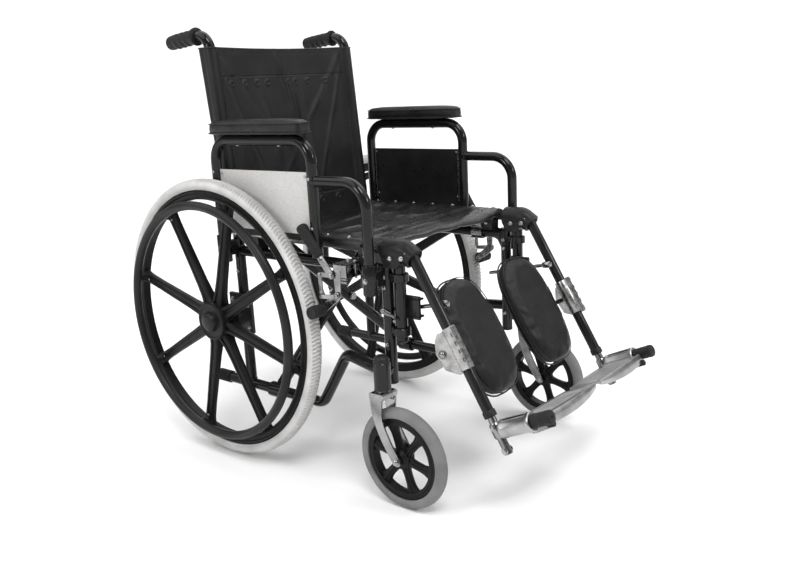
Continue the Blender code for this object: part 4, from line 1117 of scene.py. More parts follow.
def along_lever(share):
    """A place between the lever's pivot, at 0, and its top, at 1."""
    return [a + (b - a) * share for a, b in zip(LEVER_PIVOT, LEVER_TOP)]


def shoe_centre():
    """Where the shoe presses on the tyre."""
    reach = WHEEL_R + SHOE_R + 0.0006
    angle = radians(168.8)
    return (AXLE_Y + reach * cos(angle), WHEEL_R + reach * sin(angle))


def brake_clamp():
    """Clamp of the wheel lock on the upper rail, with the tongue that carries both pivots."""
    y_mid = AXLE_Y - 0.356
    low = CLAMP_X
    clamp = [block((SIDE_X - 0.014, y_mid - 0.0165, UPPER_Z + 0.0112),
                   (low + 0.0030, y_mid + 0.0165, UPPER_Z + 0.0138)),
             block((SIDE_X - 0.014, y_mid - 0.0165, UPPER_Z - 0.0138),
                   (low + 0.0030, y_mid + 0.0165, UPPER_Z - 0.0112)),
             block((low, y_mid - 0.0165, UPPER_Z - 0.0138), (low + 0.0030, y_mid + 0.0165, UPPER_Z + 0.0138)),
             turned([(-0.014, TUBE_R + 0.0002), (-0.014, 0.0150), (0.014, 0.0150), (0.014, TUBE_R + 0.0002)],
                    (SIDE_X, y_mid, UPPER_Z), ALONG_Y)]
    # pressed ribs on the lower half, then the tongue that carries both pivots
    for drop in (0.0155, 0.0215):
        clamp.append(rod((low + 0.0010, y_mid - 0.0160, UPPER_Z - drop),
                         (low + 0.0010, y_mid + 0.0150, UPPER_Z - drop), 0.0026))
    clamp.append(plate_x(capsule((y_mid + 0.008, UPPER_Z - 0.010), SHOE_PIVOT, 0.0090, 0.0065),
                         low + 0.0004, low + 0.0035))
    clamp.append(plate_x(capsule((y_mid + 0.006, UPPER_Z - 0.004), LEVER_PIVOT, 0.0090, 0.0075),
                         low + 0.0008, low + 0.0039))
    pair("clamp_plate", joined(*clamp), CHROME, "frame", ["brake_clamp"], bevel=0.0008)
    bolts = [rod((low + 0.001, *LEVER_PIVOT), (low + 0.0105, *LEVER_PIVOT), 0.0036),
             rod((low + 0.001, *SHOE_PIVOT), (low + 0.0105, *SHOE_PIVOT), 0.0036),
             dome((low + 0.0092, *LEVER_PIVOT), ALONG_X, 0.0050, 0.0030),
             dome((low + 0.0092, *SHOE_PIVOT), ALONG_X, 0.0050, 0.0030)]
    for y in (y_mid - 0.009, y_mid + 0.009):
        bolts.append(rod((SIDE_X + 0.0195, y, UPPER_Z - 0.019), (SIDE_X + 0.0195, y, UPPER_Z + 0.017),
                         0.0026))
        bolts.append(dome((SIDE_X + 0.0195, y, UPPER_Z + 0.0136), ALONG_Z, 0.0048, 0.0042))
    pair("clamp_bolts", joined(*bolts), ZINC, "frame")


def brake_lever():
    """Lever with its grip and the link that hangs from its corner."""
    neck = along_lever(0.40)
    corner = (LEVER_PIVOT[0] + 0.0300, LEVER_PIVOT[1] - 0.0010)
    foot_end = (LEVER_PIVOT[0] + 0.0280, SHOE_PIVOT[1] + 0.004)
    lever = [plate_x(capsule(LEVER_PIVOT, neck, 0.0075, 0.0062), LEVER_X, LEVER_X + 0.004),
             plate_x(capsule(LEVER_PIVOT, corner, 0.0052, 0.0046), LEVER_X + 0.0002, LEVER_X + 0.0034),
             plate_x(capsule(corner, foot_end, 0.0044, 0.0044), LEVER_X + 0.0006, LEVER_X + 0.0040),
             rod((LEVER_X + 0.0018, *along_lever(0.30)), (LEVER_X + 0.0024, *along_lever(0.54)), 0.0050)]
    pair("lever_bar", joined(*lever), CHROME, "brake_lever", ["brake_lever"], bevel=0.0007)
    pins = [dome((LEVER_X + 0.0038, *corner), ALONG_X, 0.0040, 0.0024),
            dome((LEVER_X + 0.0038, *foot_end), ALONG_X, 0.0040, 0.0024)]
    pair("lever_pins", joined(*pins), ZINC, "brake_lever")

    base = Vector((LEVER_X + 0.0020, *along_lever(0.36)))
    top = Vector((LEVER_X + 0.0050, LEVER_TOP[0] - 0.007, LEVER_TOP[1] + 0.001))
    along = (top - base).normalized()
    length = (top - base).length
    profile = [(0, 0.0), (0, 0.0075), (0.0015, 0.0092)]
    ribs = 11
    pitch = (length - 0.020) / ribs
    for k in range(ribs):
        swell = 0.0094 + 0.0018 * k / ribs
        profile += groove(0.005 + pitch * k, swell, -0.0004, 0.25 * pitch, 0.6 * pitch, 0.8 * pitch)
    profile += [(length - 0.011, 0.0118), (length - 0.006, 0.0117), (length - 0.0025, 0.0102),
                (length - 0.0004, 0.0070), (length, 0.0)]
    pair("lever_grip", turned(profile, base, along, 28), GRIP_BLACK, "brake_lever", ["brake_grip"])


def brake_arm():
    """Arm that carries the grooved shoe against the tyre."""
    y, z = shoe_centre()
    link_end = (SHOE_PIVOT[0] + 0.0400, SHOE_PIVOT[1] - 0.0040)
    arm = [plate_x(capsule(SHOE_PIVOT, (y, z), 0.0080, 0.0070), LEVER_X, LEVER_X + 0.004),
           plate_x(capsule(SHOE_PIVOT, link_end, 0.0048, 0.0042), LEVER_X + 0.0042, LEVER_X + 0.0070)]
    pair("shoe_arm", joined(*arm), CHROME, "brake_arm", ["brake_arm"], bevel=0.0007)
    start = CLAMP_X + 0.0086
    profile = [(start, 0.0), (start, SHOE_R - 0.001), (start + 0.001, SHOE_R)]
    for k in range(6):
        profile += groove(start + 0.004 + 0.0046 * k, SHOE_R, 0.0007, 0.0008, 0.0018, 0.0026)
    profile += [(start + 0.0345, SHOE_R), (start + 0.0355, SHOE_R - 0.001), (start + 0.0355, 0.0088),
                (start + 0.0345, 0.0082), (start + 0.0345, 0.0)]
    pair("shoe_rubber", turned(profile, (0, y, z), ALONG_X, 32), RUBBER_BLACK, "brake_arm", ["brake_shoe"])


# ------------------------------------------------------------------ leg rests

DOWN_LEG = Vector((0, -sin(LEG_ANGLE), -cos(LEG_ANGLE)))
LEG_FRONT = Vector((0, -cos(LEG_ANGLE), sin(LEG_ANGLE)))
INBOARD = -ALONG_X
LEG_TOP = Vector((SIDE_X, PIVOT_Y, PIVOT_Z))
BAR_ALONG = Vector((0, -cos(PLATE_TILT), sin(PLATE_TILT)))
PLATE_UP = Vector((0, sin(PLATE_TILT), cos(PLATE_TILT)))


def leg_point(inboard, down, front):
    """A place on the leg: inboard of the strut, down it from its pivot, and in front of it."""
    return LEG_TOP + INBOARD * inboard + DOWN_LEG * down + LEG_FRONT * front


def plate_point(inboard, along, up):
    """A place on the footplate: inboard of its bar, along it from the leg tube, and above it."""
    return leg_point(0, BAR_S, 0) + INBOARD * inboard + BAR_ALONG * along + PLATE_UP * up


def guide_bracket():
    """Bracket on the hanger that guides the elevating rod, open between its two lips."""
    x = SIDE_X
    plates = [block((x - 0.0145, HANGER_Y - 0.036, 0.353), (x - 0.0085, HANGER_Y + 0.009, 0.398)),
              block((x - 0.0240, HANGER_Y - 0.036, 0.390), (x - 0.0085, HANGER_Y - 0.014, 0.394)),
              block((x - 0.0240, HANGER_Y - 0.036, 0.357), (x - 0.0085, HANGER_Y - 0.014, 0.361))]
    pair("hanger_bracket", joined(*plates), PAINT_SATIN, "hanger", bevel=0.0010)


def hood():
    """Thick rounded hood that bends down in front, open there for the strut, with a lug under it."""
    x = SIDE_X
    dip = radians(33)
    spine = rounded_path([(x, PIVOT_Y + 0.0560, PIVOT_Z - 0.0010), (x, PIVOT_Y + 0.0120, PIVOT_Z + 0.0010),
                          (x, PIVOT_Y + 0.0120 - 0.0230 * cos(dip), PIVOT_Z + 0.0010 - 0.0230 * sin(dip))],
                         0.022, 8)
    outside = [0.0230 - 0.0024 * k / (len(spine) - 1) for k in range(len(spine))]
    wall = 0.0052
    hollow = [p for p in spine if (p - spine[-1]).length < 0.034]
    outer_path = [spine[0] + Vector((0, 0.0040, 0)), spine[0] + Vector((0, 0.0025, 0))] + spine
    outer_radii = [0.0120, 0.0190] + outside
    rings = tube_rings(outer_path, outer_radii, 36)
    bore = tube_rings(hollow, [outside[-1] - wall] * len(hollow), 36)
    lip = tube_rings([spine[-2], spine[-1]], [outside[-1] - 0.0018, outside[-1] - 0.0018], 36)[1]
    nudge = (spine[-1] - spine[-2]).normalized() * 0.0014
    rings.append([p + nudge for p in lip])
    rings.append([p + nudge * 0.9 for p in bore[-1]])
    rings += reversed(bore)
    lug = [(PIVOT_Y + 0.052, PIVOT_Z - 0.004), (PIVOT_Y + 0.052, PIVOT_Z - 0.023),
           (PIVOT_Y + 0.044, PIVOT_Z - 0.029), (PIVOT_Y + 0.020, PIVOT_Z - 0.029),
           (PIVOT_Y + 0.010, PIVOT_Z - 0.018), (PIVOT_Y + 0.012, PIVOT_Z - 0.002)]
    pair("hood", joined(loft(rings), plate_x(lug, x - 0.0205, x + 0.0205)), CAP_BLACK, "hanger",
         ["legrest_hanger"], slot="frame_black", smooth=50)


def hanger():
    """Hanger tube with its plug and the bolts of its hood and bracket."""
    x = SIDE_X
    pair("hanger_tube", rod((x, HANGER_Y, 0.312), (x, HANGER_Y, PIVOT_Z - 0.014), TUBE_R), PAINT, "hanger")
    foot = turned([(0.3085, 0.0), (0.3085, 0.0096), (0.3100, 0.0114), (0.3125, 0.0120), (0.3130, 0.0)],
                  (x, HANGER_Y, 0), ALONG_Z)
    pair("hanger_plug", foot, CAP_BLACK, "hanger")
    bolts = [rod((x - 0.0195, PIVOT_Y, PIVOT_Z), (x + 0.0195, PIVOT_Y, PIVOT_Z), 0.0030)]
    for back, drop in ((0.034, 0.0105), (0.007, 0.0085)):
        for sign in (-1, 1):
            bolts.append(dome((x + sign * 0.0198, PIVOT_Y + back, PIVOT_Z - drop), ALONG_X * sign, 0.0054,
                              0.0056))
    for z in (0.382, 0.370):
        bolts.append(dome((x - 0.0143, HANGER_Y + 0.002, z), -ALONG_X, 0.0034, 0.0024))
    pair("hanger_bolts", joined(*bolts), ZINC, "hanger")


def release_lever():
    """Wire lever that frees the leg rest's swing, bent outboard at its end."""
    start = RELEASE_PIVOT
    end = (FRONT_Y - 0.029, 0.357)
    low = SIDE_X + TUBE_R + 0.0010
    path = rounded_path([(low + 0.0015, start[0], start[1]),
                         (low + 0.0015, end[0] + 0.008, end[1] + 0.003), (low + 0.0030, end[0], end[1]),
                         (low + 0.0100, end[0] - 0.002, end[1] - 0.003)], 0.004, 6)
    shapes = [tube(path, 0.0028, 16), dome((low + 0.0008, *start), ALONG_X, 0.0062, 0.0040),
              dome(path[-1] - ALONG_X * 0.001, ALONG_X, 0.0036, 0.0034)]
    shapes.append(plate_x(capsule(start, (start[0] - 0.016, start[1] - 0.004), 0.0055, 0.0040), low,
                          low + 0.002))
    pair("latch_lever", joined(*shapes), CHROME, "release", ["release_lever"])


def strut():
    """Strut of the leg rest, with its eye on the pivot and the collar at its foot."""
    top, end = leg_point(0, -0.004, 0), leg_point(0, STRUT_LENGTH, 0)
    eye = rod((SIDE_X - 0.0125, PIVOT_Y, PIVOT_Z), (SIDE_X + 0.0125, PIVOT_Y, PIVOT_Z), 0.0118)
    pair("strut_tube", joined(rod(top, end, STRUT_R), eye), PAINT_SATIN, "leg", ["legrest_strut"])
    collar = turned([(-0.010, STRUT_R - 0.001), (-0.010, STRUT_R + 0.0010), (-0.0085, STRUT_R + 0.0018),
                     (0.0015, STRUT_R + 0.0018), (0.0025, STRUT_R + 0.0008),
                     (0.0025, LEG_TUBE_R + 0.0006)], end, DOWN_LEG)
    pair("strut_collar", collar, CAP_BLACK, "leg")


def calf_bracket():
    """Pressed channel on the strut: flange with its bolt behind, notched strip in front."""
    top, bottom = 0.152, 0.236
    outboard = -0.0145
    flange = [(top + 0.004, -0.002), (top + 0.002, -0.018), (top + 0.012, -0.030), (top + 0.034, -0.041),
              (bottom - 0.016, -0.036), (bottom + 0.002, -0.010), (bottom + 0.002, -0.002)]

    def on_outside(u, v, w):
        """A place on the channel, which lies against the outboard side of the strut."""
        return leg_point(outboard + w, u, v)

    strip = [(top, -0.002), (bottom - 0.002, -0.002), (bottom - 0.002, 0.0150)]
    teeth = 4
    pitch = (bottom - top - 0.020) / teeth
    for k in range(teeth):
        start = bottom - 0.008 - k * pitch
        strip += [(start, 0.0168), (start - 0.45 * pitch, 0.0168), (start - 0.50 * pitch, 0.0118),
                  (start - 0.95 * pitch, 0.0118)]
    strip += [(top + 0.008, 0.0168), (top, 0.0150)]
    shapes = [slab(flange, 0.0028, on_outside), slab(strip, 0.0030, on_outside)]
    lip = [(top, 0.0130), (bottom - 0.002, 0.0130), (bottom - 0.002, 0.0150), (top, 0.0150)]
    shapes.append(slab(lip, 0.018, on_outside))
    sleeve = [(0, STRUT_R + 0.0003), (0, 0.0134), (0.0012, 0.0140), (bottom - top - 0.010, 0.0140),
              (bottom - top - 0.009, 0.0134), (bottom - top - 0.009, STRUT_R + 0.0003)]
    shapes.append(turned(sleeve, leg_point(0, top + 0.002, 0), DOWN_LEG))
    shapes.append(slab(capsule((top + 0.010, -0.026), (bottom - 0.016, -0.026), 0.006), 0.003,
                       lambda u, v, w: leg_point(0.022 + w, u, v)))
    pair("calf_channel", joined(*shapes), ZINC, "leg", ["calf_bracket"], bevel=0.0009)
    down = top + 0.040
    bolts = [rod(leg_point(-0.016, down, -0.026), leg_point(0.026, down, -0.026), 0.0046),
             washer(leg_point(-0.0146, down, -0.026), ALONG_X, 0.0095, 0, 0.0010),
             dome(leg_point(-0.0156, down, -0.026), ALONG_X, 0.0072, 0.0054)]
    pair("calf_bolt", joined(*bolts), CHROME, "leg")


def calf_pad():
    """Oval pad: flat board behind, crowned stuffed face, welt round its edge."""
    length, width, thick = 0.236, 0.144, 0.027
    middle_down, middle_in, back = 0.186, 0.101, -0.036
    outline = superellipse(80, 0.72)
    rings = []
    for level, shrink in ((0.0, 0.95), (0.12, 1.0), (0.45, 1.0), (0.70, 0.975), (0.88, 0.92),
                          (0.97, 0.85), (1.0, 0.74)):
        lost = 0.055 * (1 - shrink)
        rings.append([leg_point(middle_in + u * (width / 2 - lost * 1.1),
                                middle_down + v * (length / 2 - lost * 1.1),
                                back + thick * level) for u, v in outline])
    shape = inflated(loft(rings), 0.006, 0.0035)
    floor = (leg_point(0, 0, back) - LEG_TOP).dot(LEG_FRONT)

    def settled(p):
        """Flat behind, where it lies on its board."""
        depth = (p - LEG_TOP).dot(LEG_FRONT)
        away = smooth_step((depth - floor) / 0.01)
        ripple = 0.0007 * lumps(p.x * 22, p.y * 22, p.z * 22) * away
        return p + LEG_FRONT * (max(floor - depth, 0.0) + ripple)

    padded_pair("calf_cushion", moved(shape, settled), "calf_pad", ["calf_pad"], VINYL_PAD)
    welts = []
    for level, grow, size in ((0.16, 0.0010, 0.0017), (0.70, -0.0006, 0.0009)):
        ring = [leg_point(middle_in + u * (width / 2 + grow), middle_down + v * (length / 2 + grow),
                          back + thick * level)
                for u, v in outline]
        welts.append(tube(ring, size, 8, True))
    hinge = [rod(leg_point(0.022, middle_down - 0.034, -0.024),
                 leg_point(0.022, middle_down - 0.012, -0.024), 0.0035),
             rod(leg_point(0.022, middle_down + 0.014, -0.024),
                 leg_point(0.022, middle_down + 0.034, -0.024), 0.0035)]
    pair("calf_welt", joined(*welts), PIPING, "calf_pad")
    board = []
    for level, grow in ((-0.0012, -0.006), (0.0016, -0.004)):
        board.append([leg_point(middle_in + u * (width / 2 + grow), middle_down + v * (length / 2 + grow),
                                back + level)
                      for u, v in outline])
    pair("calf_board", loft(board), CAP_BLACK, "calf_pad")
    pair("calf_hinge", joined(*hinge), ZINC, "calf_pad")


def elevating_rod():
    """Toothed rod that holds the leg rest up, with a round knob at its lower end."""
    knob = LEG_TOP + DOWN_LEG * ROD_DOWN
    start = Vector((ROD_X, knob.y, knob.z))
    along = (Vector((ROD_X, *GUIDE)) - start).normalized()
    profile = [(-0.0105, 0.0), (-0.0105, 0.0030), (-0.0098, 0.0052), (-0.0070, 0.0068), (0.0, 0.0076),
               (0.0070, 0.0068), (0.0100, 0.0050), (0.0112, 0.0040)]
    teeth = 9
    for k in range(teeth):
        profile += groove(0.060 + 0.0085 * k, 0.0040, 0.0009, 0.0008, 0.0032, 0.0040)
    profile += [(0.1488, 0.0040), (0.1500, 0.0032), (0.1500, 0.0)]
    pair("ratchet_rod", turned(profile, start, along, 24), CHROME, "rod", ["elevating_rod"])


def leg_tube():
    """Sliding leg tube with its bolts, the bar of the footplate and the bar's rubber tip."""
    tubes = [rod(leg_point(0, 0.212, 0), leg_point(0, BAR_S + 0.046, 0), LEG_TUBE_R),
             rod(plate_point(0, 0, 0), plate_point(0, 0.112, 0), 0.0078),
             turned([(-0.014, LEG_TUBE_R - 0.001), (-0.014, 0.0098), (-0.010, 0.0112), (0.010, 0.0112),
                     (0.014, 0.0098), (0.014, LEG_TUBE_R - 0.001)], leg_point(0, BAR_S, 0), DOWN_LEG)]
    pair("slide_tube", joined(*tubes), CHROME, "leg_tube", ["leg_tube"])
    bolts = [rod(leg_point(-0.010, BAR_S + 0.038, 0), leg_point(0.010, BAR_S + 0.038, 0), 0.0036),
             hex_head(leg_point(-0.0078, BAR_S + 0.038, 0), ALONG_X, 0.0050, 0.0042),
             hex_head(leg_point(0.0078, BAR_S + 0.038, 0), -ALONG_X, 0.0050, 0.0042),
             hex_head(leg_point(-0.0095, BAR_S - 0.006, 0), ALONG_X, 0.0042, 0.0036)]
    pair("slide_bolts", joined(*bolts), ZINC, "leg_tube")
    start = SLEEVE_END + 0.0006
    profile = [(start, 0.0082), (start, 0.0118), (start + 0.0012, 0.0127)]
    for k in range(4):
        profile += groove(start + 0.006 + 0.006 * k, 0.0127, 0.0008, 0.001, 0.003, 0.004)
    profile += [(0.1165, 0.0127), (0.1190, 0.0115), (0.1200, 0.0090), (0.1200, 0.0020)]
    pair("rubber_tip", turned(profile, leg_point(0, BAR_S, 0), BAR_ALONG), RUBBER_BLACK, "leg_tube",
         ["bar_tip"])


def deck():
    """Cast plate with a raised rim and an apron that curves down in front, and its ridges."""
    deck_low, deck_high = -0.0040, 0.0020
    corner, rear, front = 0.020, 0.016, 0.100
    steps = 30
    rings = []
    for k in range(steps + 1):
        t = k / steps
        inboard = PLATE_REACH + (corner - PLATE_REACH) * t
        back = rear + 0.012 * (1 - t) - 0.004 * sin(pi * t)
        edge = front + 0.006 * sin(pi * t)
        drop = deck_low - 0.003 - 0.009 * t ** 0.5 - 0.005 * sin(pi * t)
        top = [(back, deck_high - 0.0015), (back + 0.0015, deck_high + 0.0006), (back + 0.006, deck_high),
               (edge - 0.010, deck_high), (edge - 0.005, deck_high + 0.0014),
               (edge - 0.001, deck_high + 0.0004), (edge + 0.0008, deck_high - 0.004),
               (edge + 0.0004, (deck_high + drop) / 2), (edge - 0.0012, drop + 0.0012)]
        under = [(edge - 0.0030, drop), (edge - 0.0050, drop + 0.0010),
                 (edge - 0.0056, (deck_low + drop) / 2 - 0.001), (edge - 0.0080, deck_low - 0.0002),
                 (back + 0.008, deck_low), (back + 0.005, deck_low - 0.005),
                 (back + 0.001, deck_low - 0.005)]
        rings.append([plate_point(inboard, v, up) for v, up in top + under])
    shapes = [loft(rings)]
    wing = [(0.004, rear), (corner + 0.004, rear), (corner + 0.004, front - 0.002),
            (corner - 0.002, 0.079), (0.004, 0.079)]
    shapes.append(slab(wing, 0.0055, lambda u, v, w: plate_point(u, v, deck_low + 0.0002 + w)))
    for k in range(9):
        at = rear + 0.016 + 0.0066 * k
        ridge = [plate_point(corner + 0.012, at, deck_high),
                 plate_point(PLATE_REACH - 0.014, at + 0.006, deck_high)]
        shapes.append(tube(ridge, 0.0009, 6))
    return shapes


def barrel():
    """Sleeve of the footplate round its bar, with its ribs and its stop."""
    section = []
    for k in range(40):
        angle = 2 * pi * k / 40
        flat = 0.0012 * max(0.0, cos(2 * angle - 1.9)) ** 2
        section.append(((0.0172 - flat) * cos(angle), (0.0172 - flat) * sin(angle)))
    rings = []
    for along, grow in ((SLEEVE_START, 0.92), (SLEEVE_START + 0.0015, 1.02), (SLEEVE_START + 0.006, 1.02),
                        (SLEEVE_START + 0.008, 0.965), (SLEEVE_END - 0.010, 0.965),
                        (SLEEVE_END - 0.008, 1.05), (SLEEVE_END - 0.0015, 1.05), (SLEEVE_END, 0.96)):
        rings.append([plate_point(-u * grow, along, v * grow) for u, v in section])
    shapes = [loft(rings)]
    # three cast ribs along the barrel
    for angle in (radians(62), radians(96), radians(128)):
        reach = 0.0166
        rib = [plate_point(-reach * cos(angle), SLEEVE_START + 0.008, reach * sin(angle)),
               plate_point(-reach * cos(angle), SLEEVE_END - 0.009, reach * sin(angle))]
        shapes.append(tube(rib, 0.0011, 8))
    shapes.append(slab(capsule((0.012, SLEEVE_END - 0.008), (0.020, SLEEVE_END + 0.006), 0.0085, 0.0075),
                       0.014, lambda u, v, w: plate_point(u, v, -0.022 + w)))
    return shapes


def footplate():
    """Hinged cast footplate with the rubber stub that it stops on."""
    pair("foot_deck", joined(*deck(), *barrel()), CAST, "footplate", ["footplate"], bevel=0.0005)
    stub = rod(plate_point(0.0215, SLEEVE_END - 0.002, -0.016),
               plate_point(0.0215, SLEEVE_END + 0.024, -0.016), 0.0062)
    pair("stop_stub", stub, RUBBER_BLACK, "footplate")
    # dark strips between the barrel's ribs: painted shade standing for two slots, which are not cut into the
    # barrel
    slot_shade_strips = []
    for angle in (radians(79), radians(112)):
        reach = 0.01655
        slot_shade_strips.append(tube([plate_point(-reach * cos(angle), SLEEVE_START + 0.009, reach * sin(angle)),
                           plate_point(-reach * cos(angle), SLEEVE_END - 0.010, reach * sin(angle))],
                          0.0010, 6))
    pair("barrel_slot_painted_shade", joined(*slot_shade_strips), CAP_BLACK, "footplate", slot="rubber_black")


# ------------------------------------------------------------------ cross brace and slings


def brace(name, y, low_side):
    """One bar of the cross brace, with its sleeve on the lower rail and the seat rail on its top."""
    low_x = low_side * SIDE_X
    high_x = -low_x
    low, high = Vector((low_x, y, LOWER_Z)), Vector((high_x, y, SEAT_Z))
    along = (high - low).normalized()
    sleeve = both_sides([(0.018, 0.0168), (0.019, 0.0160), (0.019, TUBE_R + 0.0012)])
    shapes = [
        rod(low + along * 0.0160, high - along * 0.004, BRACE_R),
        turned(sleeve, low, ALONG_Y),
        rod((high_x, SEAT_FRONT_Y, SEAT_Z), (high_x, SEAT_REAR_Y, SEAT_Z), RAIL_R),
    ]
    piece(name + "_tubes", joined(*shapes), PAINT, name, [name])
    plugs = []
    for rail_y, sign in ((SEAT_FRONT_Y, -1), (SEAT_REAR_Y, 1)):
        plugs.append(turned([(-0.002, 0.0), (-0.002, RAIL_R + 0.0004), (0.0012, RAIL_R + 0.0004),
                             (0.0032, RAIL_R - 0.0016), (0.0038, 0.0)], (high_x, rail_y, SEAT_Z),
                            ALONG_Y * sign))
    piece(name + "_plugs", joined(*plugs), CAP_BLACK, name)


def seat_height(x, y):
    """Sag of the seat between its rails, with tension creases from rail to rail."""
    inside = SIDE_X - RAIL_R * 0.4
    share = min(abs(x) / inside, 1.0)
    depth = (y - SEAT_FRONT_Y) / (SEAT_REAR_Y - SEAT_FRONT_Y)
    sag = (SEAT_SAG + 0.003 * smooth_step(depth)) * (1 - share ** 2.0)
    edge = smooth_step((1 - share) * 5)
    waves = 0.0030 * lumps(x * 5, y * 26, 1.7) + 0.0012 * lumps(x * 14, y * 60, 4.2)
    ridge = 1 - abs(lumps((x + 0.5 * y) * 7, (y - 0.2 * x) * 17, 7.1)) * 2.2
    sharp = 0.0034 * max(0.0, ridge) ** 3
    lean = -0.0035 * sin(pi * share) * (x < 0)
    return SEAT_Z + RAIL_R + 0.0022 - sag + (waves + sharp - 0.002 + lean) * edge


def seat():
    """Seat cloth: screwed along both rails, sagging between them, with a thick front hem."""
    wrap_r = RAIL_R + 0.0018
    columns, stations, turns = 84, 72, 12
    wrap = radians(125)
    screws = [SEAT_FRONT_Y + 0.020 + (SEAT_REAR_Y - SEAT_FRONT_Y - 0.040) * k / 6 for k in range(7)]
    # each place across the cloth: an angle round a rail, or a share of the way between the rails
    across = [(-1, pi / 2 - wrap + wrap * k / turns) for k in range(turns)]
    across += [(0, -1 + 2 * k / columns) for k in range(columns + 1)]
    across += [(1, pi / 2 - wrap * (k + 1) / turns) for k in range(turns)]
    rows = []
    for r in range(stations + 1):
        row = []
        for side, value in across:
            x = side * (SIDE_X + wrap_r * cos(value)) if side else value * SIDE_X
            inboard = SIDE_X - abs(x)
            front = AXLE_Y - 0.376 - 0.034 * smooth_step((x - 0.03) / 0.17)
            y = front + (SEAT_REAR_Y + 0.002 - front) * r / stations
            if side:
                z = SEAT_Z + wrap_r * sin(value)
            else:
                z = seat_height(x, y)
                if inboard < wrap_r:
                    z = max(z, SEAT_Z + math.sqrt(wrap_r ** 2 - inboard ** 2))
                from_screw = min(abs(y - s) for s in screws)
                beside_rail = smooth_step(inboard / 0.010) * smooth_step((0.045 - inboard) / 0.02)
                z += 0.0020 * smooth_step(from_screw / 0.022) * beside_rail
            hem = smooth_step((front + 0.024 - y) / 0.026)
            z -= 0.002 * hem ** 2.5 * smooth_step((inboard - 0.004) / 0.03)
            row.append(Vector((x, y, z)))
        rows.append(row)
    cover = piece("seat_cloth", grid(rows), SEAT_CLOTH, None, thickness=0.0030, smooth=180)
    subdivided(cover)

    # the front hem is rolled over a cord; stitches follow it and both rails
    hem_path = [p + Vector((0, 0.0005, -0.0045)) for p in rows[0][7:-7]]
    swell = [0.0060 + 0.0030 * smooth_step((abs(p.x) - 0.06) / 0.10) * smooth_step((SIDE_X - abs(p.x)) / 0.03)
             + 0.0014 * lumps(p.x * 22, 0.3, 0.8) for p in hem_path]
    hem = piece("seat_hem", tube(hem_path, swell, 14), SEAT_CLOTH, None, smooth=180)
    lines = [rows[r][12:-12] for r in (5, 8)] + [[row[column] for row in rows[4:]] for column in (18, -19)]
    thread = piece("seat_stitches", stitched(lines, ALONG_Z), THREAD, None)
    for made in (cover, hem, thread):
        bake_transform(made)
    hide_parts("seat_sling")
    for body, sign in (("brace_a", 1), ("brace_b", -1)):
        heads = []
        for y in screws:
            angle = radians(80)
            out = Vector((sign * cos(angle), 0, sin(angle)))
            at = Vector((sign * SIDE_X, y, SEAT_Z)) + out * (wrap_r + 0.0016)
            heads.append(washer(at, out, 0.0054, -0.0005, 0.0007, 0.0002, 20))
            heads.append(dome(at + out * 0.0006, out, 0.0036, 0.0026))
        piece(f"{body}_screws", joined(*heads), ZINC, body)


# tension folds down from the top corners: slope, start, height, spread, reach
CORNER_FOLDS = ((1.25, 0.0, 0.0060, 0.010, 0.13), (2.6, 0.012, 0.0040, 0.014, 0.09))
# long soft folds down the middle: place, lean, height, spread, top, bottom
LONG_FOLDS = ((-0.018, 0.26, 0.0052, 0.0055, 0.90, 0.70),
              (0.030, 0.10, -0.0040, 0.010, 0.83, 0.58),
              (-0.085, 0.16, 0.0032, 0.010, 0.78, 0.60))


def back_bow(x, z):
    """How far the back cloth bows to the rear, with its folds."""
    share = min(abs(x) / SLING_HALF, 1.0)
    bow = 0.011 * (1 - share ** 2.2)
    edge = smooth_step((1 - share) * 5)
    fold = 0.0
    for corner in (-1, 1):
        along = abs(x - corner * SLING_HALF)
        for slope, start, height, spread, reach in CORNER_FOLDS:
            fall = (BACK_HIGH - z) - along * slope - start
            fading = math.exp(-along / reach) * smooth_step(along / 0.02)
            fold += height * math.exp(-(fall / spread) ** 2) * fading
    for place, lean, height, spread, top, bottom in LONG_FOLDS:
        line = x - place - lean * (BACK_HIGH - z)
        inside = smooth_step((z - bottom) / 0.08) * smooth_step((top - z) / 0.06)
        fold += height * math.exp(-(line / spread) ** 2) * inside
    cloud = 0.0022 * lumps(x * 14, z * 5, 2.3) + 0.0010 * lumps(x * 40, z * 22, 5.1)
    return bow - (fold + cloud) * edge


def back_heights(low, seams):
    """Heights of the cloth's rows, closer together across each seam."""
    heights = [low]
    while heights[-1] < BACK_HIGH:
        near = min(abs(heights[-1] - seam + 0.008) for seam in seams)
        heights.append(min(heights[-1] + (0.0012 if near < 0.019 else 0.0040), BACK_HIGH))
    return heights


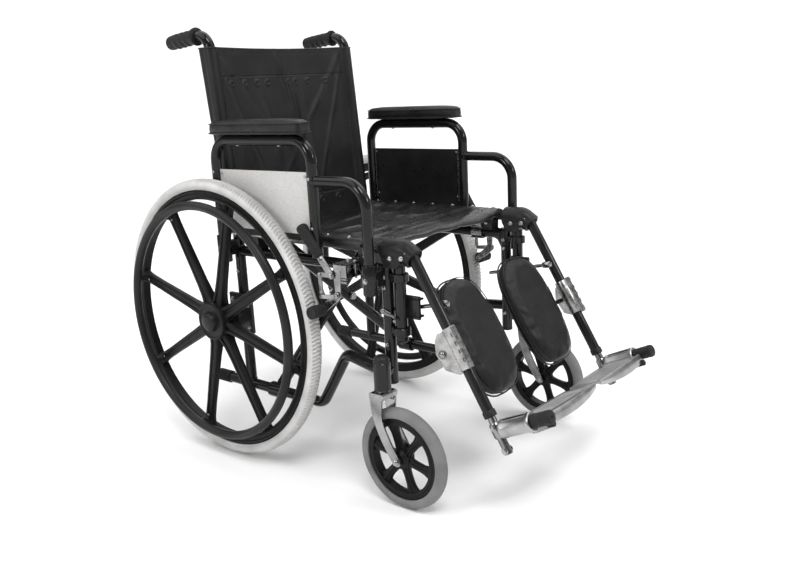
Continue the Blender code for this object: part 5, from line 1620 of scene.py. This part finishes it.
def back_cloth():
    """Back cloth between the canes: a sheet with two puckered seams."""
    half = SLING_HALF
    seams = (BACK_HIGH - 0.060, BACK_LOW + 0.052)
    columns = 200
    puckers = [-0.160, -0.120, -0.083, -0.052, 0.011, 0.036, 0.072, 0.128]
    rows = []
    low = BACK_LOW - 0.022
    heights = back_heights(low, seams)
    for z in heights:
        row = []
        for k in range(columns + 1):
            x = half * (-1 + 2 * k / columns)
            y = cane_y(z) + back_bow(x, z)
            for seam in seams:
                if abs(z - seam + 0.012) > 0.022:
                    continue
                y += 0.0018 * math.exp(-((z - seam) / 0.0020) ** 2)
                for at in puckers:
                    out = math.hypot((x - at) / 0.0072, (z - seam + 0.0150) / 0.0058)
                    y -= 0.0026 * math.exp(-((out - 0.9) / 0.34) ** 2)
            droop = 0.003 * sin(pi * k / columns) * smooth_step((z - BACK_HIGH + 0.05) / 0.05)
            row.append(Vector((x, y, z - droop)))
        rows.append(row)
    cover = piece("back_cloth", grid(rows), SLING, None, thickness=0.0030, smooth=180)
    hems = piece("back_hems", joined(tube(rows[-1], 0.0022, 10), tube(rows[0], 0.0024, 10)), PIPING, None,
                 smooth=180)
    stitch_heights = seams + (BACK_HIGH - 0.012, low + 0.012)
    lines = [min(rows, key=lambda row: abs(row[0].z - height))[4:-4:2] for height in stitch_heights]
    thread = piece("back_stitches", stitched(lines, -ALONG_Y), THREAD, None)
    for made in (cover, hems, thread):
        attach(made, "right_frame")
        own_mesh(made)
    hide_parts("back_sling")


def back_sleeves():
    """Pocket of cloth on each cane, with piping at its ends and a seam beside the back cloth."""
    # round the cane as (outboard, rear): tight in front, with a loose fold of cloth behind
    pocket = [(-0.0226, 0.0010), (-0.0150, -0.0020), (-0.0120, -0.0062), (-0.0060, -0.0122),
              (0.0010, -0.0138), (0.0080, -0.0112), (0.0130, -0.0045), (0.0128, 0.0035), (0.0108, 0.0090),
              (0.0124, 0.0140), (0.0132, 0.0195), (0.0104, 0.0245), (0.0050, 0.0250), (-0.0010, 0.0215),
              (-0.0080, 0.0150), (-0.0150, 0.0080), (-0.0226, 0.0034)]
    levels = 60
    wall = []
    for r in range(levels + 1):
        z = BACK_LOW + (BACK_HIGH - BACK_LOW) * r / levels
        loose = 0.55 + 0.45 * (z - BACK_LOW) / (BACK_HIGH - BACK_LOW)
        ring = []
        for k, (outboard, behind) in enumerate(pocket):
            lump = 0.0010 * lumps(outboard * 90, behind * 90, z * 17) * (behind > 0.006)
            rear = behind * loose if behind > 0.009 else behind
            ring.append((SIDE_X + outboard + lump, cane_y(z) + rear + lump, z))
        wall.append(ring)
    sleeves = pair("back_sleeve", grid(wall), SLING, "frame", thickness=0.0016, smooth=180)
    for sleeve in sleeves:
        subdivided(sleeve)
    cords = [tube(wall[0][1:-1], 0.0016, 8), tube(wall[-1][1:-1], 0.0016, 8)]
    seam_line = [Vector((SIDE_X - 0.0185, cane_y(z) - 0.0022, z)) for z in
                 (BACK_LOW + (BACK_HIGH - BACK_LOW) * k / 70 for k in range(71))]
    trims = pair("back_piping", joined(*cords), PIPING, "frame")
    threads = pair("back_sleeve_stitches", stitched([seam_line], -ALONG_Y), THREAD, "frame")


# ------------------------------------------------------------------ studio


# directions from the chair, strengths, and how wide each sun is in degrees
SUNS = (("key", (-0.9, -1.3, 2.6), 1.5, 24), ("fill", (1.6, 0.6, 2.2), 1.4, 60),
        ("back", (-1.4, 1.6, 2.6), 1.4, 60), ("front", (1.2, -1.8, 2.8), 1.0, 60))
# places and strengths of the two small lamps that put highlights on the tubes
LAMPS = (("side_lamp", (-2.6, 0.4, 1.5), 14), ("front_lamp", (0.6, -2.8, 1.9), 16))


def studio():
    """Pale floor, a room that is bright along the horizon and dim overhead, and a broad soft key."""
    scene = bpy.context.scene
    bpy.ops.mesh.primitive_circle_add(vertices=128, radius=60, fill_type="NGON")
    floor = bpy.context.object
    floor.name = "floor"
    look = Look("floor_pale", Specular_IOR_Level=0.1)
    look.colour(look.ramp(look.noise(0.8), [(0.3, grey(0.90)), (0.7, grey(0.92))]))
    look.roughness(look.between(look.noise(3), 0.8, 0.9))
    floor.data.materials.append(look.material)

    world = bpy.data.worlds.new("studio")
    scene.world = world
    world.use_nodes = True
    tree = world.node_tree
    place = tree.nodes.new("ShaderNodeTexCoord")
    split = tree.nodes.new("ShaderNodeSeparateXYZ")
    fade = tree.nodes.new("ShaderNodeMapRange")
    fade.inputs["From Min"].default_value = 0.14
    fade.inputs["From Max"].default_value = 0.42
    fade.inputs["To Min"].default_value = STUDIO_HORIZON
    fade.inputs["To Max"].default_value = ROOM_LIGHT
    tree.links.new(place.outputs["Generated"], split.inputs[0])
    tree.links.new(split.outputs["Z"], fade.inputs["Value"])
    # the backdrop that the camera sees is a paper-white one; it lights the chair less than that
    rays = tree.nodes.new("ShaderNodeLightPath")
    share = tree.nodes.new("ShaderNodeMapRange")
    share.inputs["To Min"].default_value = BACKDROP_LIGHT
    strength = tree.nodes.new("ShaderNodeMath")
    strength.operation = "MULTIPLY"
    tree.links.new(rays.outputs["Is Camera Ray"], share.inputs["Value"])
    tree.links.new(fade.outputs[0], strength.inputs[0])
    tree.links.new(share.outputs[0], strength.inputs[1])
    tree.links.new(strength.outputs[0], tree.nodes["Background"].inputs["Strength"])
    tree.nodes["Background"].inputs["Color"].default_value = (1, 1, 1, 1)

    for name, place, energy, spread in SUNS:
        sun = bpy.data.lights.new(name, "SUN")
        sun.energy = energy
        sun.angle = radians(spread)
        holder = bpy.data.objects.new(name, sun)
        scene.collection.objects.link(holder)
        holder.rotation_euler = Vector(place).to_track_quat("Z", "Y").to_euler()
    for name, place, energy in LAMPS:
        lamp = bpy.data.lights.new(name, "AREA")
        lamp.energy = energy
        lamp.size = 0.5
        holder = bpy.data.objects.new(name, lamp)
        scene.collection.objects.link(holder)
        holder.location = place
        holder.rotation_euler = (Vector(place) - Vector((0, 0, 0.45))).to_track_quat("Z", "Y").to_euler()
    scene.view_settings.view_transform = "Standard"
    scene.view_settings.look = "None"


# ------------------------------------------------------------------ the chair

side_frame()
side_plates()
side_fittings()
push_grip()
rear_tyre()
rear_wheel()
handrim()
hub_cap()
caster_fork()
caster_wheel()
caster_tyre()
arms()
arm_pad()
brake_clamp()
brake_lever()
brake_arm()
guide_bracket()
hood()
hanger()
release_lever()
strut()
calf_bracket()
calf_pad()
elevating_rod()
leg_tube()
footplate()
brace("brace_a", BRACE_A_Y, -1)
brace("brace_b", BRACE_B_Y, 1)
seat()
back_cloth()
back_sleeves()
for node_name in ("left_axle_bolt", "right_axle_bolt", "brace_bolt"):
    repaint(node_name, ZINC)
studio()
